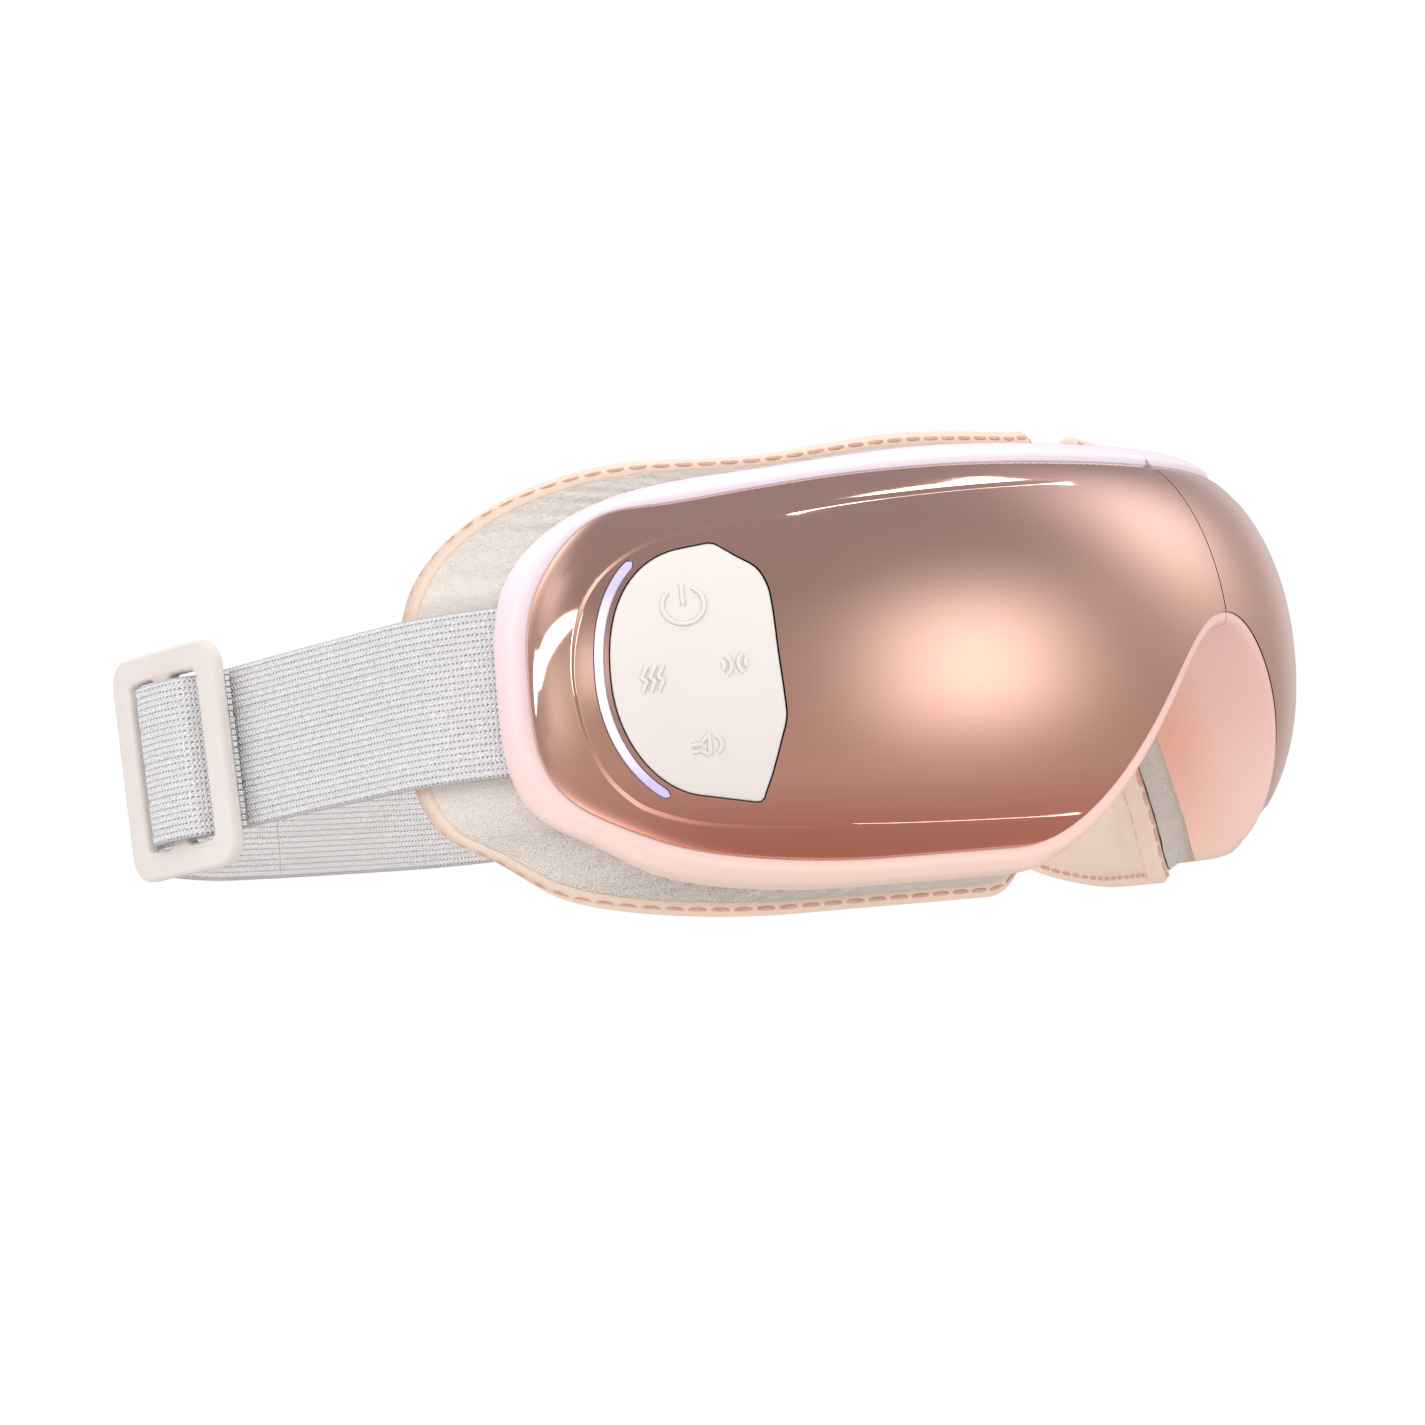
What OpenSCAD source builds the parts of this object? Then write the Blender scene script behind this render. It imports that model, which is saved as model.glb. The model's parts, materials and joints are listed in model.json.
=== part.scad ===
// Folding eye massager mask: two shell halves on a bridge hinge, padded face side and an elastic head strap.
// X runs across the face (+X is the wearer's left), Y runs back towards the head, Z is up.

/* [Shell] */
// Plan radius of the surface that the front cover's edge lies on
plan_r = 110; // [106:1:114]
// Height of the front cover
cover_h = 66; // [64:1:68]
// Arc length from the bridge to the front cover's temple end
cover_s = 129; // [127:1:131]
// Height of the cover's dome over its edge
dome = 13; // [11:0.5:14]
// Height of the nose arch's apex above mid height
arch_top = 5.5; // [4:0.5:7]
// Arc length from the bridge to the foot of the nose arch
arch_foot = 46; // [44:1:48]
// Wall thickness of the moulded shells
wall = 1.8; // [1.6:0.1:2]

/* [Face side] */
// How far behind the cover's edge the frame ends
frame_d = 12.4; // [12:0.1:12.8]
// How far behind the cover's edge the pad begins
pad_d = 17.6; // [17:0.1:18]
// Thickness of the face pad at its crown
pad_t = 9; // [8:0.5:9.5]
// How far the pad reaches past the cover's temple end
pad_ext = 32; // [30:1:33]
// How far the pad stands out above and below the cover
pad_out = 8; // [7:0.5:9]

/* [Fold] */
// Distance of the hinge pin behind the cover's edge at the bridge
hinge_y = 15.8; // [15.6:0.1:16]
// Radius of the hinge knuckles
knuckle_r = 3; // [2.8:0.1:3]
// Radius of the hinge pin
pin_r = 1.25; // [1:0.05:1.5]

/* [Strap] */
// Width of the elastic strap
strap_w = 29; // [28:1:31]
// Thickness of the elastic strap
strap_t = 1.8; // [1.4:0.1:1.8]
// How far behind the bridge the strap's loop reaches
loop_back = 202; // [200:1:208]
// Length of the slide buckle along the strap
buckle_l = 31; // [29:1:33]
// Height of the slide buckle across the strap
buckle_h = 41; // [40:1:44]
// Thickness of the slide buckle
buckle_t = 2.6; // [2:0.1:2.8]

/* [Hidden] */

gap = 0.15;                      // each half stops this short of the middle plane
round_s = 70;                    // arc length where the cover's ends begin to round off
middle = [62, 0];                // the point that the shells' rings shrink towards, as arc length and height
pad_depth = pad_d + pad_t;       // the pad's crown
hinge_low = 7;                   // height of the hinge's lower end
knuckle_h = 5.2;
knuckle_gap = 0.3;
hinge_h = 5 * knuckle_h + 4 * knuckle_gap;
half_height = cover_h / 2 + pad_out;
loop_front = -12.8;              // the dome's foremost point, at the arch's apex
loop_mid = (loop_back + strap_t / 2 + loop_front) / 2;
nose_in = 3.8;                   // how much shallower the face side is beside the nose
eye = [52, 2];                   // the middle of the eye aperture
eye_r = [29, 23];                // its half width and half height

rose = [0.80, 0.58, 0.50];
blush = [0.95, 0.82, 0.80];
sand = [0.80, 0.76, 0.70];
cream = [0.95, 0.92, 0.88];
board_green = [0.15, 0.4, 0.25];

// ---------- the curved frame of reference ----------
// Every shell is laid out by arc length s from the bridge, height z, and depth d behind the cover's edge.
function clamp01(x) = min(max(x, 0), 1);
function turn(s) = s / plan_r * 180 / PI;
function nose_share(s, z) = (1 + cos(180 * clamp01((s - 40) / 48))) / 2 * clamp01((10 - z) / 40);
function at(s, z, d) =
    let (r = plan_r - d + nose_in * clamp01(d / frame_d) * nose_share(s, z))
    [r * sin(turn(s)), plan_r - r * cos(turn(s)), z];
function end_share(s, from, to) = clamp01((s - from) / (to - from));
function end_height(s, from, to) = pow(1 - pow(end_share(s, from, to), 1.91), 1 / 3.4);
// The cover's top edge sinks a little along its middle and fills out at the temple corner.
function top_dip(s) = -1.6 * exp(-pow((s - 86) / 24, 2));
function top_corner(s) = 3 * exp(-pow((s - 117.5) / 10.5, 2)) * (1 - pow(end_share(s, round_s, cover_s), 8));
// At the lower temple corner every outline is drawn in, the wider ones more.
function low_corner(s, end, out) = (0.9 + 0.35 * max(out, 0))
    * exp(-pow((s - end + 11 + 0.6 * out) / 9.5, 2)) * (1 - pow(clamp01((s - round_s) / (end - round_s)), 8));
function dome_at(s, z) =
    let (height = cover_h / 2 * end_height(min(s, cover_s - 0.01), round_s, cover_s)
             + (z > 0 ? top_dip(s) + top_corner(s) : -low_corner(s, cover_s, 0)),
         up = clamp01(abs(z) / height))
    dome * sqrt(1 - pow(end_share(s, round_s, cover_s), 2.5)) * pow(1 - pow(up, 2.15), 0.714);

module in_place() translate([0, -loop_mid, half_height]) children();
module right_side() in_place() mirror([1, 0, 0]) children();
module left_side() in_place() children();
// Local +X runs along the shell to the temple, +Y runs inwards to the face.
module local(s, z, d) translate(at(s, z, d)) rotate([0, 0, turn(s)]) children();
module block(size) translate([-size[0] / 2, 0, -size[2] / 2]) cube(size);

// ---------- outlines: seam, top edge, temple, bottom edge and nose arch, as [s, z] ----------
seam_n = 4;
top_n = 18;
bottom_n = 16;
arch_n = 10;
ring_n = seam_n + top_n + bottom_n + arch_n;

function arch_z(s, foot, low, apex) = low + (apex - low) * pow(1 - pow(clamp01(s / foot), 2.16), 2.9);
function outline(out, ext, seam, nose) =
    let (high = cover_h / 2 + out, end = cover_s + ext, from = round_s + ext * 0.4,
         foot = arch_foot - nose, apex = arch_top - nose, sunk = 1 + max(out, 0) / pad_out)
    concat(
        [for (i = [0:seam_n - 1]) [seam, apex + (high - apex) * i / seam_n]],
        [for (i = [0:top_n - 1]) let (s = seam + (end - seam) * sin(90 * i / top_n))
            [s, high * end_height(s, from, end) + top_dip(s) * sunk + top_corner(s) * clamp01(1 - out / 4)]],
        [for (i = [0:bottom_n - 1]) let (s = end - (end - foot) * (1 - cos(90 * i / bottom_n)))
            [s, -high * end_height(s, from, end) + low_corner(s, end, out)]],
        [for (i = [0:arch_n - 1]) let (s = foot - (foot - seam) * i / arch_n)
            [s, arch_z(s, foot, -high, apex)]]);
function backwards(list) = [for (i = [len(list) - 1:-1:0]) list[i]];
function shrunk(points, centre, share) = [for (p = points) centre + (p - centre) * share];
// The ellipse round the eye, point for point with an outline.
function around_eye(points, grow) =
    [for (p = points) let (v = p - eye) eye + v / norm([v[0] / (eye_r[0] + grow), v[1] / (eye_r[1] + grow)])];
function mixed(a, b, share) = [for (i = [0:len(a) - 1]) a[i] + (b[i] - a[i]) * share];
function raised(points, d) = [for (p = points) at(p[0], p[1], d)];
function domed(points, d) = [for (p = points) at(p[0], p[1], d - dome_at(p[0], p[1]))];

// ---------- solids through rings ----------
function between_rings(n, k, next) = [for (i = [0:n - 1])
    let (a = k * n + i, b = k * n + (i + 1) % n, c = next * n + (i + 1) % n, d = next * n + i)
    each [[a, c, b], [a, d, c]]];
// A band whose rings close on the first one again, such as a frame.
module band(rings) {
    n = len(rings[0]);
    k = len(rings);
    polyhedron([for (r = rings) each r], [for (j = [0:k - 1]) each between_rings(n, j, (j + 1) % k)]);
}
// A bar through four-cornered sections, each listed anticlockwise as seen from the bar's start.
module bar_through(sections) {
    last = 4 * len(sections) - 4;
    polyhedron([for (s = sections) each s], concat(
        [[0, 2, 1], [0, 3, 2]],
        [for (i = [0:4:last - 4]) for (j = [0:3]) let (a = i + j, b = i + (j + 1) % 4)
            each [[a, b + 4, a + 4], [a, b, b + 4]]],
        [[last, last + 1, last + 2], [last, last + 2, last + 3]]));
}
// A closed plate or cushion: the first and last rings are closed on a point each.
module plate(rings, tips) {
    n = len(rings[0]);
    k = len(rings);
    first = n * k;
    last = (k - 1) * n;
    polyhedron(
        concat([for (r = rings) each r], tips),
        concat(
            [for (i = [0:n - 1]) [first, i, (i + 1) % n]],
            [for (j = [0:k - 2]) each between_rings(n, j, j + 1)],
            [for (i = [0:n - 1]) [first + 1, last + (i + 1) % n, last + i]]));
}

// ---------- front cover ----------
cover_shares = [0.2, 0.42, 0.62, 0.78, 0.89, 0.96, 1];
module cover_shell() {
    edge = outline(0, 0, gap, 0);
    plate(
        concat(
            [for (k = cover_shares) domed(shrunk(edge, middle, k), 0)],
            [for (k = backwards(cover_shares)) domed(shrunk(edge, middle, k * 0.985), wall)]),
        [domed([middle], 0)[0], domed([middle], wall)[0]]);
}

// ---------- control panel ----------
panel_c = [100, -0.1];
panel_r = [14.7, 20.6];
panel_middle = [99.5, -0.5];     // the point that its rings shrink towards
panel_angle = 59;                // the way the panel faces, outwards from straight ahead
// Clockwise from the top: the round temple side, then the straight nose-side edges up to the peak.
function panel_outline(grow) = concat(
    [for (a = [84:-12:-84]) panel_arc(grow, a)],
    [[94.2, -22.2 - grow], [92.8 - grow * 0.7, -21.7 - grow * 0.7], [91.5 - grow, -17.8],
     [90.2 - grow, -13.2], [89 - grow, -8.2], [89.4 - grow, -2], [89.8 - grow, 6],
     [89.8 - grow, 12], [90.7 - grow, 14.9 + grow * 0.5], [92.5 - grow * 0.7, 17 + grow * 0.7],
     [97.2, 20.8 + grow]]);
// Its round side is an ellipse, a little squarer above than below.
function panel_arc(grow, a) = let (k = a > 0 ? 0.85 : 1) panel_c
    + [(panel_r[0] + grow) * pow(cos(a), k), (panel_r[1] + grow) * sign(a) * pow(abs(sin(a)), k)];
module panel_slab(grow, front, back) {
    edge = panel_outline(grow);
    shares = [0.35, 0.7, 1];
    plate(
        concat([for (k = shares) domed(shrunk(edge, panel_middle, k), front)],
               [for (k = backwards(shares)) domed(shrunk(edge, panel_middle, k), back)]),
        [domed([panel_middle], front)[0], domed([panel_middle], back)[0]]);
}
// A crescent bar just outside the panel's round side.
light_n = 20;
module light_slab(inner, outer, ends, front, back) bar_through([for (i = [0:light_n])
    let (a = ends[0] + (ends[1] - ends[0]) * i / light_n, in = panel_arc(inner, a), out = panel_arc(outer, a))
    [domed([out], front)[0], domed([out], back)[0], domed([in], back)[0], domed([in], front)[0]]]);
keys = [[102.9, 10.7], [108.4, -0.9], [96.3, 0.4], [101.2, -12.5]];   // power, heat, massage and sound
// A point of the panel's own straight frame: local +Y runs the way the panel presses.
module panel_frame(s, z, d) translate(at(s, z, d)) rotate([0, 0, panel_angle]) children();

// Posts inside the cover take the screws that hold the backplate.
screw_at = [[31, 26.5], [70, 26.5], [70, -26.5], [118, 17.5], [118, -17.5]];
post_r = 2.5;
post_top = frame_d - 2.7;        // the posts stop just short of the backplate
// Square to the backplate at one screw, from depth d inwards.
module screw_line(p, d)
    local(p[0], p[1], frame_d) rotate([-90, 0, 0]) translate([0, 0, d - frame_d]) children();
module cover() difference() {
    union() {
        cover_shell();
        for (p = screw_at)
            let (lowest = min([for (a = [0 : 15 : 90])
                     dome_at(p[0] + post_r * cos(a), p[1] + sign(p[1]) * post_r * sin(a))]),
                 start = wall - 0.7 - lowest + nose_in * nose_share(p[0], p[1]))
            screw_line(p, start) cylinder(r = post_r, h = post_top - start, $fn = 32);
    }
    for (p = screw_at) screw_line(p, frame_d - 8) cylinder(r = 1.15, h = 8, $fn = 20);
}

module right_front_cover() color(rose) right_side() difference() {
    cover();
    panel_slab(0.35, -3, 5);
    light_slab(0.75, 2.7, [57, -65], -3, 5);
}
module left_front_cover() color(rose) left_side() cover();
module control_panel() color(cream) right_side() {
    panel_slab(0, 0.1, 2);
    for (k = keys) along_key(k, 1.4) cylinder(r = 1.5, h = 1.2, $fn = 24);
}
module light_bar() color([0.9, 0.88, 1]) right_side() light_slab(0.95, 2.5, [56, -64], 0.1, 3);
// Along each key's own line, measured from the cover's outer surface.
module along_key(k, d) panel_frame(k[0], k[1], d - dome_at(k[0], k[1])) rotate([-90, 0, 0]) children();
module switch_plungers() color([0.2, 0.2, 0.2]) right_side()
    for (k = keys) along_key(k, 2.7) cylinder(r = 1, h = 2, $fn = 24);
module tact_switches() color([0.75, 0.75, 0.78]) right_side() for (k = keys) difference() {
    panel_frame(k[0], k[1], 4 - dome_at(k[0], k[1])) block([4.4, 2.7, 4.4]);
    along_key(k, 3) cylinder(r = 1.08, h = 2.6, $fn = 24);
}
module switch_board() color(board_green) right_side() {
    for (k = keys) panel_frame(k[0], k[1], 6.8 - dome_at(k[0], k[1])) block([5.6, 1.8, 5.6]);
    panel_frame(101.8, -0.6, 8.7 - dome_at(101.8, 0)) block([21, 1.2, 34]);
}

// ---------- frame between cover and pad ----------
edge_dome = [for (p = outline(0, 0, gap, 0)) dome_at(p[0], p[1])];
// A ring whose depth runs from the cover's edge (share 0) to a flat back (share 1).
function frame_ring(out, ext, seam, nose, share, d) =
    let (points = outline(out, ext, seam, nose))
    [for (i = [0:ring_n - 1]) at(points[i][0], points[i][1], d - (1 - share) * edge_dome[i])];
module frame_shell() band([
    frame_ring(-2.4, -2.4, 2.4, -2.4, 0, 2.1),
    frame_ring(0.25, 0.3, gap, 0.25, 0, 2.1),
    frame_ring(0.25, 0.3, gap, 0.25, 0, 0.1),
    frame_ring(1.2, 1.5, gap, 1.4, 0, 0.15),
    frame_ring(2.0, 2.8, gap, 2.1, 0.02, 0.7),
    frame_ring(3.8, 6.4, gap, 3.0, 0.3, 4.2),
    frame_ring(4.5, 8.5, gap, 3.0, 1, frame_d),
    frame_ring(2.7, 5.4, gap + wall, 1.2, 1, frame_d),
    frame_ring(1.9, 3.8, gap + wall, 0.9, 0.3, 5),
]);
// The strap leaves through a notch in the frame's temple end.
module strap_notch() local(134.8, 0, 9.3) block([9, 4, strap_w + 3]);
port = [84, -cover_h / 2 - 3];   // where the charging port opens, through the frame's lower wall
module right_frame() color(blush) right_side() difference() {
    frame_shell();
    strap_notch();
}
module left_frame() color(blush) left_side() difference() {
    frame_shell();
    strap_notch();
    local(port[0], port[1], 5.2) stadium(9.6, 3.8, 12);
}
// A flat-sided slot with round ends, standing along Z.
module stadium(w, h, l) hull() for (x = [-1, 1])
    translate([x * (w - h) / 2, h / 2, -l / 2]) cylinder(d = h, h = l, $fn = 24);

// ---------- backplate ----------
module back_plate() {
    edge = outline(2.3, -1.5, gap + wall + 0.3, 0.3);
    shares = [for (k = [1:5]) k / 5];
    front = frame_d - 2;
    back = frame_d - 0.3;
    plate(concat([for (k = shares) raised(shrunk(edge, middle, k), front)],
                 [for (k = backwards(shares)) raised(shrunk(edge, middle, k), back)]),
          [at(middle[0], middle[1], front), at(middle[0], middle[1], back)]);
}
module with_screw_holes() difference() {
    children();
    for (p = screw_at) screw_line(p, frame_d - 4) cylinder(r = 1.2, h = 8, $fn = 20);
}
module right_backplate() color(sand) right_side() with_screw_holes() back_plate();
module left_backplate() color(sand) left_side() with_screw_holes() back_plate();
module screws() for (p = screw_at) screw_line(p, frame_d - 5) {
    cylinder(r = 1.1, h = 6, $fn = 24);
    translate([0, 0, 5]) cylinder(r = 2, h = 1, $fn = 24);
}
module right_screws() color("silver") right_side() screws();
module left_screws() color("silver") left_side() screws();

// ---------- fabric side, face pad and eye lining ----------
// Its bridge side is cut away around the hinge leaves.
module gusset() difference() {
    gusset_band();
    by_hinge(hinge_low - 0.5) translate([-9, -1.3, 0]) cube([18, 3.2, hinge_h + 1]);
}
module gusset_band() band([
    raised(outline(3.2, 2.5, 5, 2.2), frame_d + 0.2),
    raised(outline(4.5, 14, 5, 2.4), frame_d + 2.4),
    raised(outline(5.6, 28.7, 5, 2.8), pad_d - 0.35),
    raised(outline(4.4, 27.3, 6.2, 1.6), pad_d - 0.35),
    raised(outline(3.4, 12.6, 6.2, 1.2), frame_d + 2.6),
    raised(outline(2.0, 1.2, 6.2, 1.0), frame_d + 0.2),
]);
module right_gusset() color(sand) right_side() gusset();
module left_gusset() color(sand) left_side() gusset();

pad_seam = 10.5;                 // the pads stop this far from the middle, to leave room to fold
module face_pad() {
    rim = outline(pad_out, pad_ext, pad_seam, 4.6);
    inner = outline(pad_out - 1.3, pad_ext - 1.5, pad_seam + 0.6, 3.4);
    hole = around_eye(rim, 0);
    band([
        raised(hole, pad_d),
        raised(inner, pad_d),
        raised(rim, pad_d + 0.9),
        raised(rim, pad_d + 3.6),
        raised(inner, pad_d + 4.8),
        raised(mixed(inner, hole, 0.3), pad_d + 7.4),
        raised(mixed(inner, hole, 0.62), pad_depth),
        raised(mixed(inner, hole, 0.9), pad_depth - 1.6),
        raised(hole, pad_depth - 4),
    ]);
}
module right_face_pad() color(cream) right_side() face_pad();
module left_face_pad() color(cream) left_side() face_pad();

eye_n = 32;
function eye_ring(grow, d) = [for (i = [0:eye_n - 1]) let (a = -360 * i / eye_n)
    at(eye[0] + (eye_r[0] + grow) * cos(a), eye[1] + (eye_r[1] + grow) * sin(a), d)];
module eye_disc(grow, front, back, crown) plate(
    [eye_ring(grow - 14, front - crown * 0.8), eye_ring(grow - 5, front - crown * 0.4), eye_ring(grow, front),
     eye_ring(grow, back), eye_ring(grow - 5, back + crown * 0.4), eye_ring(grow - 14, back + crown * 0.8)],
    [at(eye[0], eye[1], front - crown), at(eye[0], eye[1], back + crown)]);
module right_eye_lining() color([0.85, 0.78, 0.66]) right_side() eye_disc(-0.3, pad_d + 1.4, pad_d + 2.8, 0);
module left_eye_lining() color([0.85, 0.78, 0.66]) left_side() eye_disc(-0.3, pad_d + 1.4, pad_d + 2.8, 0);
module right_heater() color([0.8, 0.5, 0.2]) right_side() eye_disc(-3, pad_d + 0.5, pad_d + 1.2, 0);
module left_heater() color([0.8, 0.5, 0.2]) left_side() eye_disc(-3, pad_d + 0.5, pad_d + 1.2, 0);
module right_airbag() color([0.85, 0.88, 0.9]) right_side() eye_disc(-2, 15.2, 16.2, 1);
module left_airbag() color([0.85, 0.88, 0.9]) left_side() eye_disc(-2, 15.2, 16.2, 1);

// ---------- electronics and air parts ----------
module main_board() color(board_green) right_side() local(48, 2, 4) {
    block([44, 1.6, 40]);
    translate([-8, -2, 6]) block([9, 2, 9]);
    translate([12, -1.4, -8]) block([6, 1.4, 5]);
}
module speaker() color([0.2, 0.2, 0.22]) right_side() local(80, -16, 4) rotate([-90, 0, 0]) {
    cylinder(r = 8, h = 3.6, $fn = 40);
    cylinder(r = 5, h = 5, $fn = 32);
}
module battery() color([0.7, 0.72, 0.75]) left_side() local(51, 2, 0) block([42, 7, 34]);
module charging_port() color([0.6, 0.62, 0.64]) left_side() local(port[0], port[1] + 4.5, 5.6) difference() {
    stadium(8.9, 3.1, 7);
    translate([0, 0.4, -1]) stadium(8.1, 2.3, 7);
}
module pump_motor() color([0.75, 0.76, 0.78]) left_side() local(98, 8, 1) {
    cylinder(r = 7, h = 16, center = true, $fn = 48);
    translate([0, 0, 8]) cylinder(r = 2, h = 1.4, $fn = 24);
}
module pump_head() color([0.25, 0.25, 0.28]) left_side() local(98, -4.6, 1) {
    cylinder(r = 7.4, h = 9, center = true, $fn = 48);
    translate([-4, 0, -8.5]) cylinder(r = 1.6, h = 5, $fn = 24);
    translate([4, 0, -8.5]) cylinder(r = 1.6, h = 5, $fn = 24);
}
module air_valve() color([0.3, 0.32, 0.4]) left_side() local(82, 10, 0) {
    block([8, 8, 13]);
    translate([0, 4, -9.5]) cylinder(r = 1.6, h = 4, $fn = 24);
}
// Two silicone hoses: pump to valve, and pump down to the airbag's inlet.
module hose_bend(r, a) rotate_extrude(angle = a, $fn = 40) translate([r, 0]) circle(r = 1.5, $fn = 20);
module air_hose() color([0.9, 0.9, 0.92]) left_side() {
    local(98, -14.6, 1) translate([-4, 0, 0]) {
        cylinder(r = 1.5, h = 1.4, $fn = 20);
        translate([-5, 0, 0]) rotate([90, 0, 0]) rotate([0, 0, -90]) hose_bend(5, 90);
    }
    local(98, -14.6, 1) translate([4, 0, 0]) {
        cylinder(r = 1.5, h = 1.4, $fn = 20);
        translate([5, 0, 0]) rotate([90, 0, 0]) rotate([0, 0, 180]) hose_bend(5, 90);
    }
}
motor = [22, 18, 5];             // the vibration motor's place: arc length, lower end's height, depth
module vibration_motor() local(motor[0], motor[1], motor[2]) {
    cylinder(r = 3.5, h = 9, $fn = 40);
    translate([0, 0, -3.3]) cylinder(r = 0.5, h = 3.3, $fn = 20);
}
module motor_weight() local(motor[0], motor[1] - 5.4, motor[2]) difference() {
    union() {
        cylinder(r = 1.1, h = 4, $fn = 28);
        intersection() {
            cylinder(r = 3, h = 4, $fn = 40);
            translate([-4, 0, 0]) cube([8, 4, 4]);
        }
    }
    translate([0, 0, 2]) cylinder(r = 0.55, h = 3, $fn = 20);
}
module right_vibration_motor() color("silver") right_side() vibration_motor();
module left_vibration_motor() color("silver") left_side() vibration_motor();
module right_motor_weight() color([0.5, 0.5, 0.45]) right_side() motor_weight();
module left_motor_weight() color([0.5, 0.5, 0.45]) left_side() motor_weight();

// ---------- bridge hinge ----------
leaf_t = 1.3;
// Flat against the backplates beside the hinge, from a given height up.
module by_hinge(z) translate([0, 0, z - 12]) local(11, 12, frame_d + 0.35) children();
function knuckle_z(k) = hinge_low + k * (knuckle_h + knuckle_gap);
module knuckle(k)
    translate([0, hinge_y, knuckle_z(k)]) cylinder(r = knuckle_r, h = knuckle_h, $fn = 48);
module pin_bore() translate([0, hinge_y, 0]) cylinder(r = pin_r + 0.05, h = 60, $fn = 40);
module leaf(ks) difference() {
    union() for (k = ks) {
        knuckle(k);
        translate([0, hinge_y - knuckle_r, knuckle_z(k)]) cube([5.2, 1.4, knuckle_h]);
        by_hinge(knuckle_z(k)) translate([-7, 0, 0]) cube([14, leaf_t, knuckle_h]);
    }
    pin_bore();
    translate([0, hinge_y - knuckle_r - 5, 0]) cube([30, 4.9, 50]);
}
module leaf_web() by_hinge(hinge_low) translate([2, 0, 0]) cube([5, leaf_t, hinge_h]);
module right_hinge_leaf() color("silver") right_side() union() { leaf([0, 2, 4]); leaf_web(); }
module left_hinge_leaf() color("silver") left_side() union() { leaf([1, 3]); leaf_web(); }
module hinge_pin() color("gray") left_side() translate([0, hinge_y, hinge_low - 0.6])
    cylinder(r = pin_r, h = hinge_h + 1.2, $fn = 40);
// A soft leather boot closes the gap between the two pads.
boot_low = 4;
boot_high = 39;
boot_t = 1.6;
boot_half = 7.8;
function boot_y(x) = 19.6 + 3.2 * cos(x * 11);
module bridge_boot() color(cream) left_side() translate([0, 0, boot_low]) linear_extrude(boot_high - boot_low)
    polygon(concat(
        [for (x = [-boot_half:boot_half / 6:boot_half]) [x, boot_y(x)]],
        [for (x = [boot_half:-boot_half / 6:-boot_half]) [x, boot_y(x) + boot_t]]));

// ---------- strap ----------
// Half of the loop, from inside the temple end to the middle at the back, as hand-laid points:
// place across, place back, height on the right side, height on the left side.
strap_route = [
    [90.9, 64.8, 0.5, 0.5], [92.6, 70.2, 0.5, 0.4], [93.4, 76.9, 0.5, 0], [94.3, 83.5, 0.5, -0.6],
    [94.8, 92, 0.3, -1.4], [93.6, 100, 0, -2.2], [90.8, 111, -0.6, -3.2], [87.2, 125, -1.4, -4.6],
    [83.6, 139, -2.3, -5.8], [80, 153, -3.2, -7], [75.9, 167, -4.2, -8], [69.4, 178.6, -5.4, -9],
    [59, 188, -7, -9.6], [43, 196, -8.6, -10], [21.5, 201, -9.8, -10], [0.15, loop_back, -10, -10],
];
route_pivot = 3;                 // the point where the strap bends as it leaves the frame
function spline(a, b, c, d, t) = 0.5 * ((2 * b) + (c - a) * t + (2 * a - 5 * b + 4 * c - d) * t * t
    + (3 * b - a - 3 * c + d) * t * t * t);
function route_point(i, side) =
    let (p = strap_route[min(max(i, 0), len(strap_route) - 1)]) [p[0], p[1], p[side]];
function strap_line(from, to, side) = concat(
    [for (i = [from:to - 1]) for (t = [0, 0.5])
        spline(route_point(i - 1, side), route_point(i, side),
               route_point(i + 1, side), route_point(i + 2, side), t)],
    [route_point(to, side)]);
function across(line, i) =
    let (v = line[min(i + 1, len(line) - 1)] - line[max(i - 1, 0)])
    [v[1], -v[0], 0] / norm([v[0], v[1]]);
// A flat webbing of width w and thickness t, on edge, along a line.
module webbing(line, w, t) bar_through([for (i = [0:len(line) - 1])
    let (side = across(line, i) * t / 2, up = [0, 0, w / 2])
    [line[i] + side - up, line[i] + side + up, line[i] - side + up, line[i] - side - up]]);
right_z = 2;
left_z = 3;
module strap_end(side) intersection() {
    webbing(strap_line(0, route_pivot, side), strap_w, strap_t);
    translate([0, 0, -40]) cube([200, strap_route[route_pivot][1] - 1.3, 80]);
}
module strap_half(side) {
    pivot = route_point(route_pivot, side);
    webbing(strap_line(route_pivot, len(strap_route) - 1, side), strap_w, strap_t);
    translate(pivot) cylinder(d = strap_t - 0.3, h = strap_w - 0.6, center = true, $fn = 32);
}
module right_strap_end() color("white") right_side() strap_end(right_z);
module left_strap_end() color("white") left_side() strap_end(left_z);
module right_strap() color("white") right_side() strap_half(right_z);
module left_strap() color("white") left_side() strap_half(left_z);
module strap_clamp() local(124, 0.5, 5.8) {
    block([6, 1.5, 34]);
    for (z = [-1, 1]) translate([0, 1.4, z * 16.4]) block([6, 2.9, 1.2]);
}
module right_strap_clamp() color(sand) right_side() strap_clamp();
module left_strap_clamp() color(sand) left_side() strap_clamp();

// ---------- slide buckle ----------
buckle_at = [79, 157, -3.9];     // the point of the strap's line that it sits over
buckle_turn = 14;                // the strap's heading there, inwards from straight back
buckle_tilt = 3.8;               // how far the strap slopes down towards the back there
buckle_off = 4.6;                // the buckle's middle plane over the strap's line
bar = 5.6;                       // width of its two side bars
centre_bar = 4.4;                // width of the bar that the strap's layer passes over
window_h = strap_w + 1.6;
slot_w = (buckle_l - 2 * bar - centre_bar) / 2;
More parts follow.
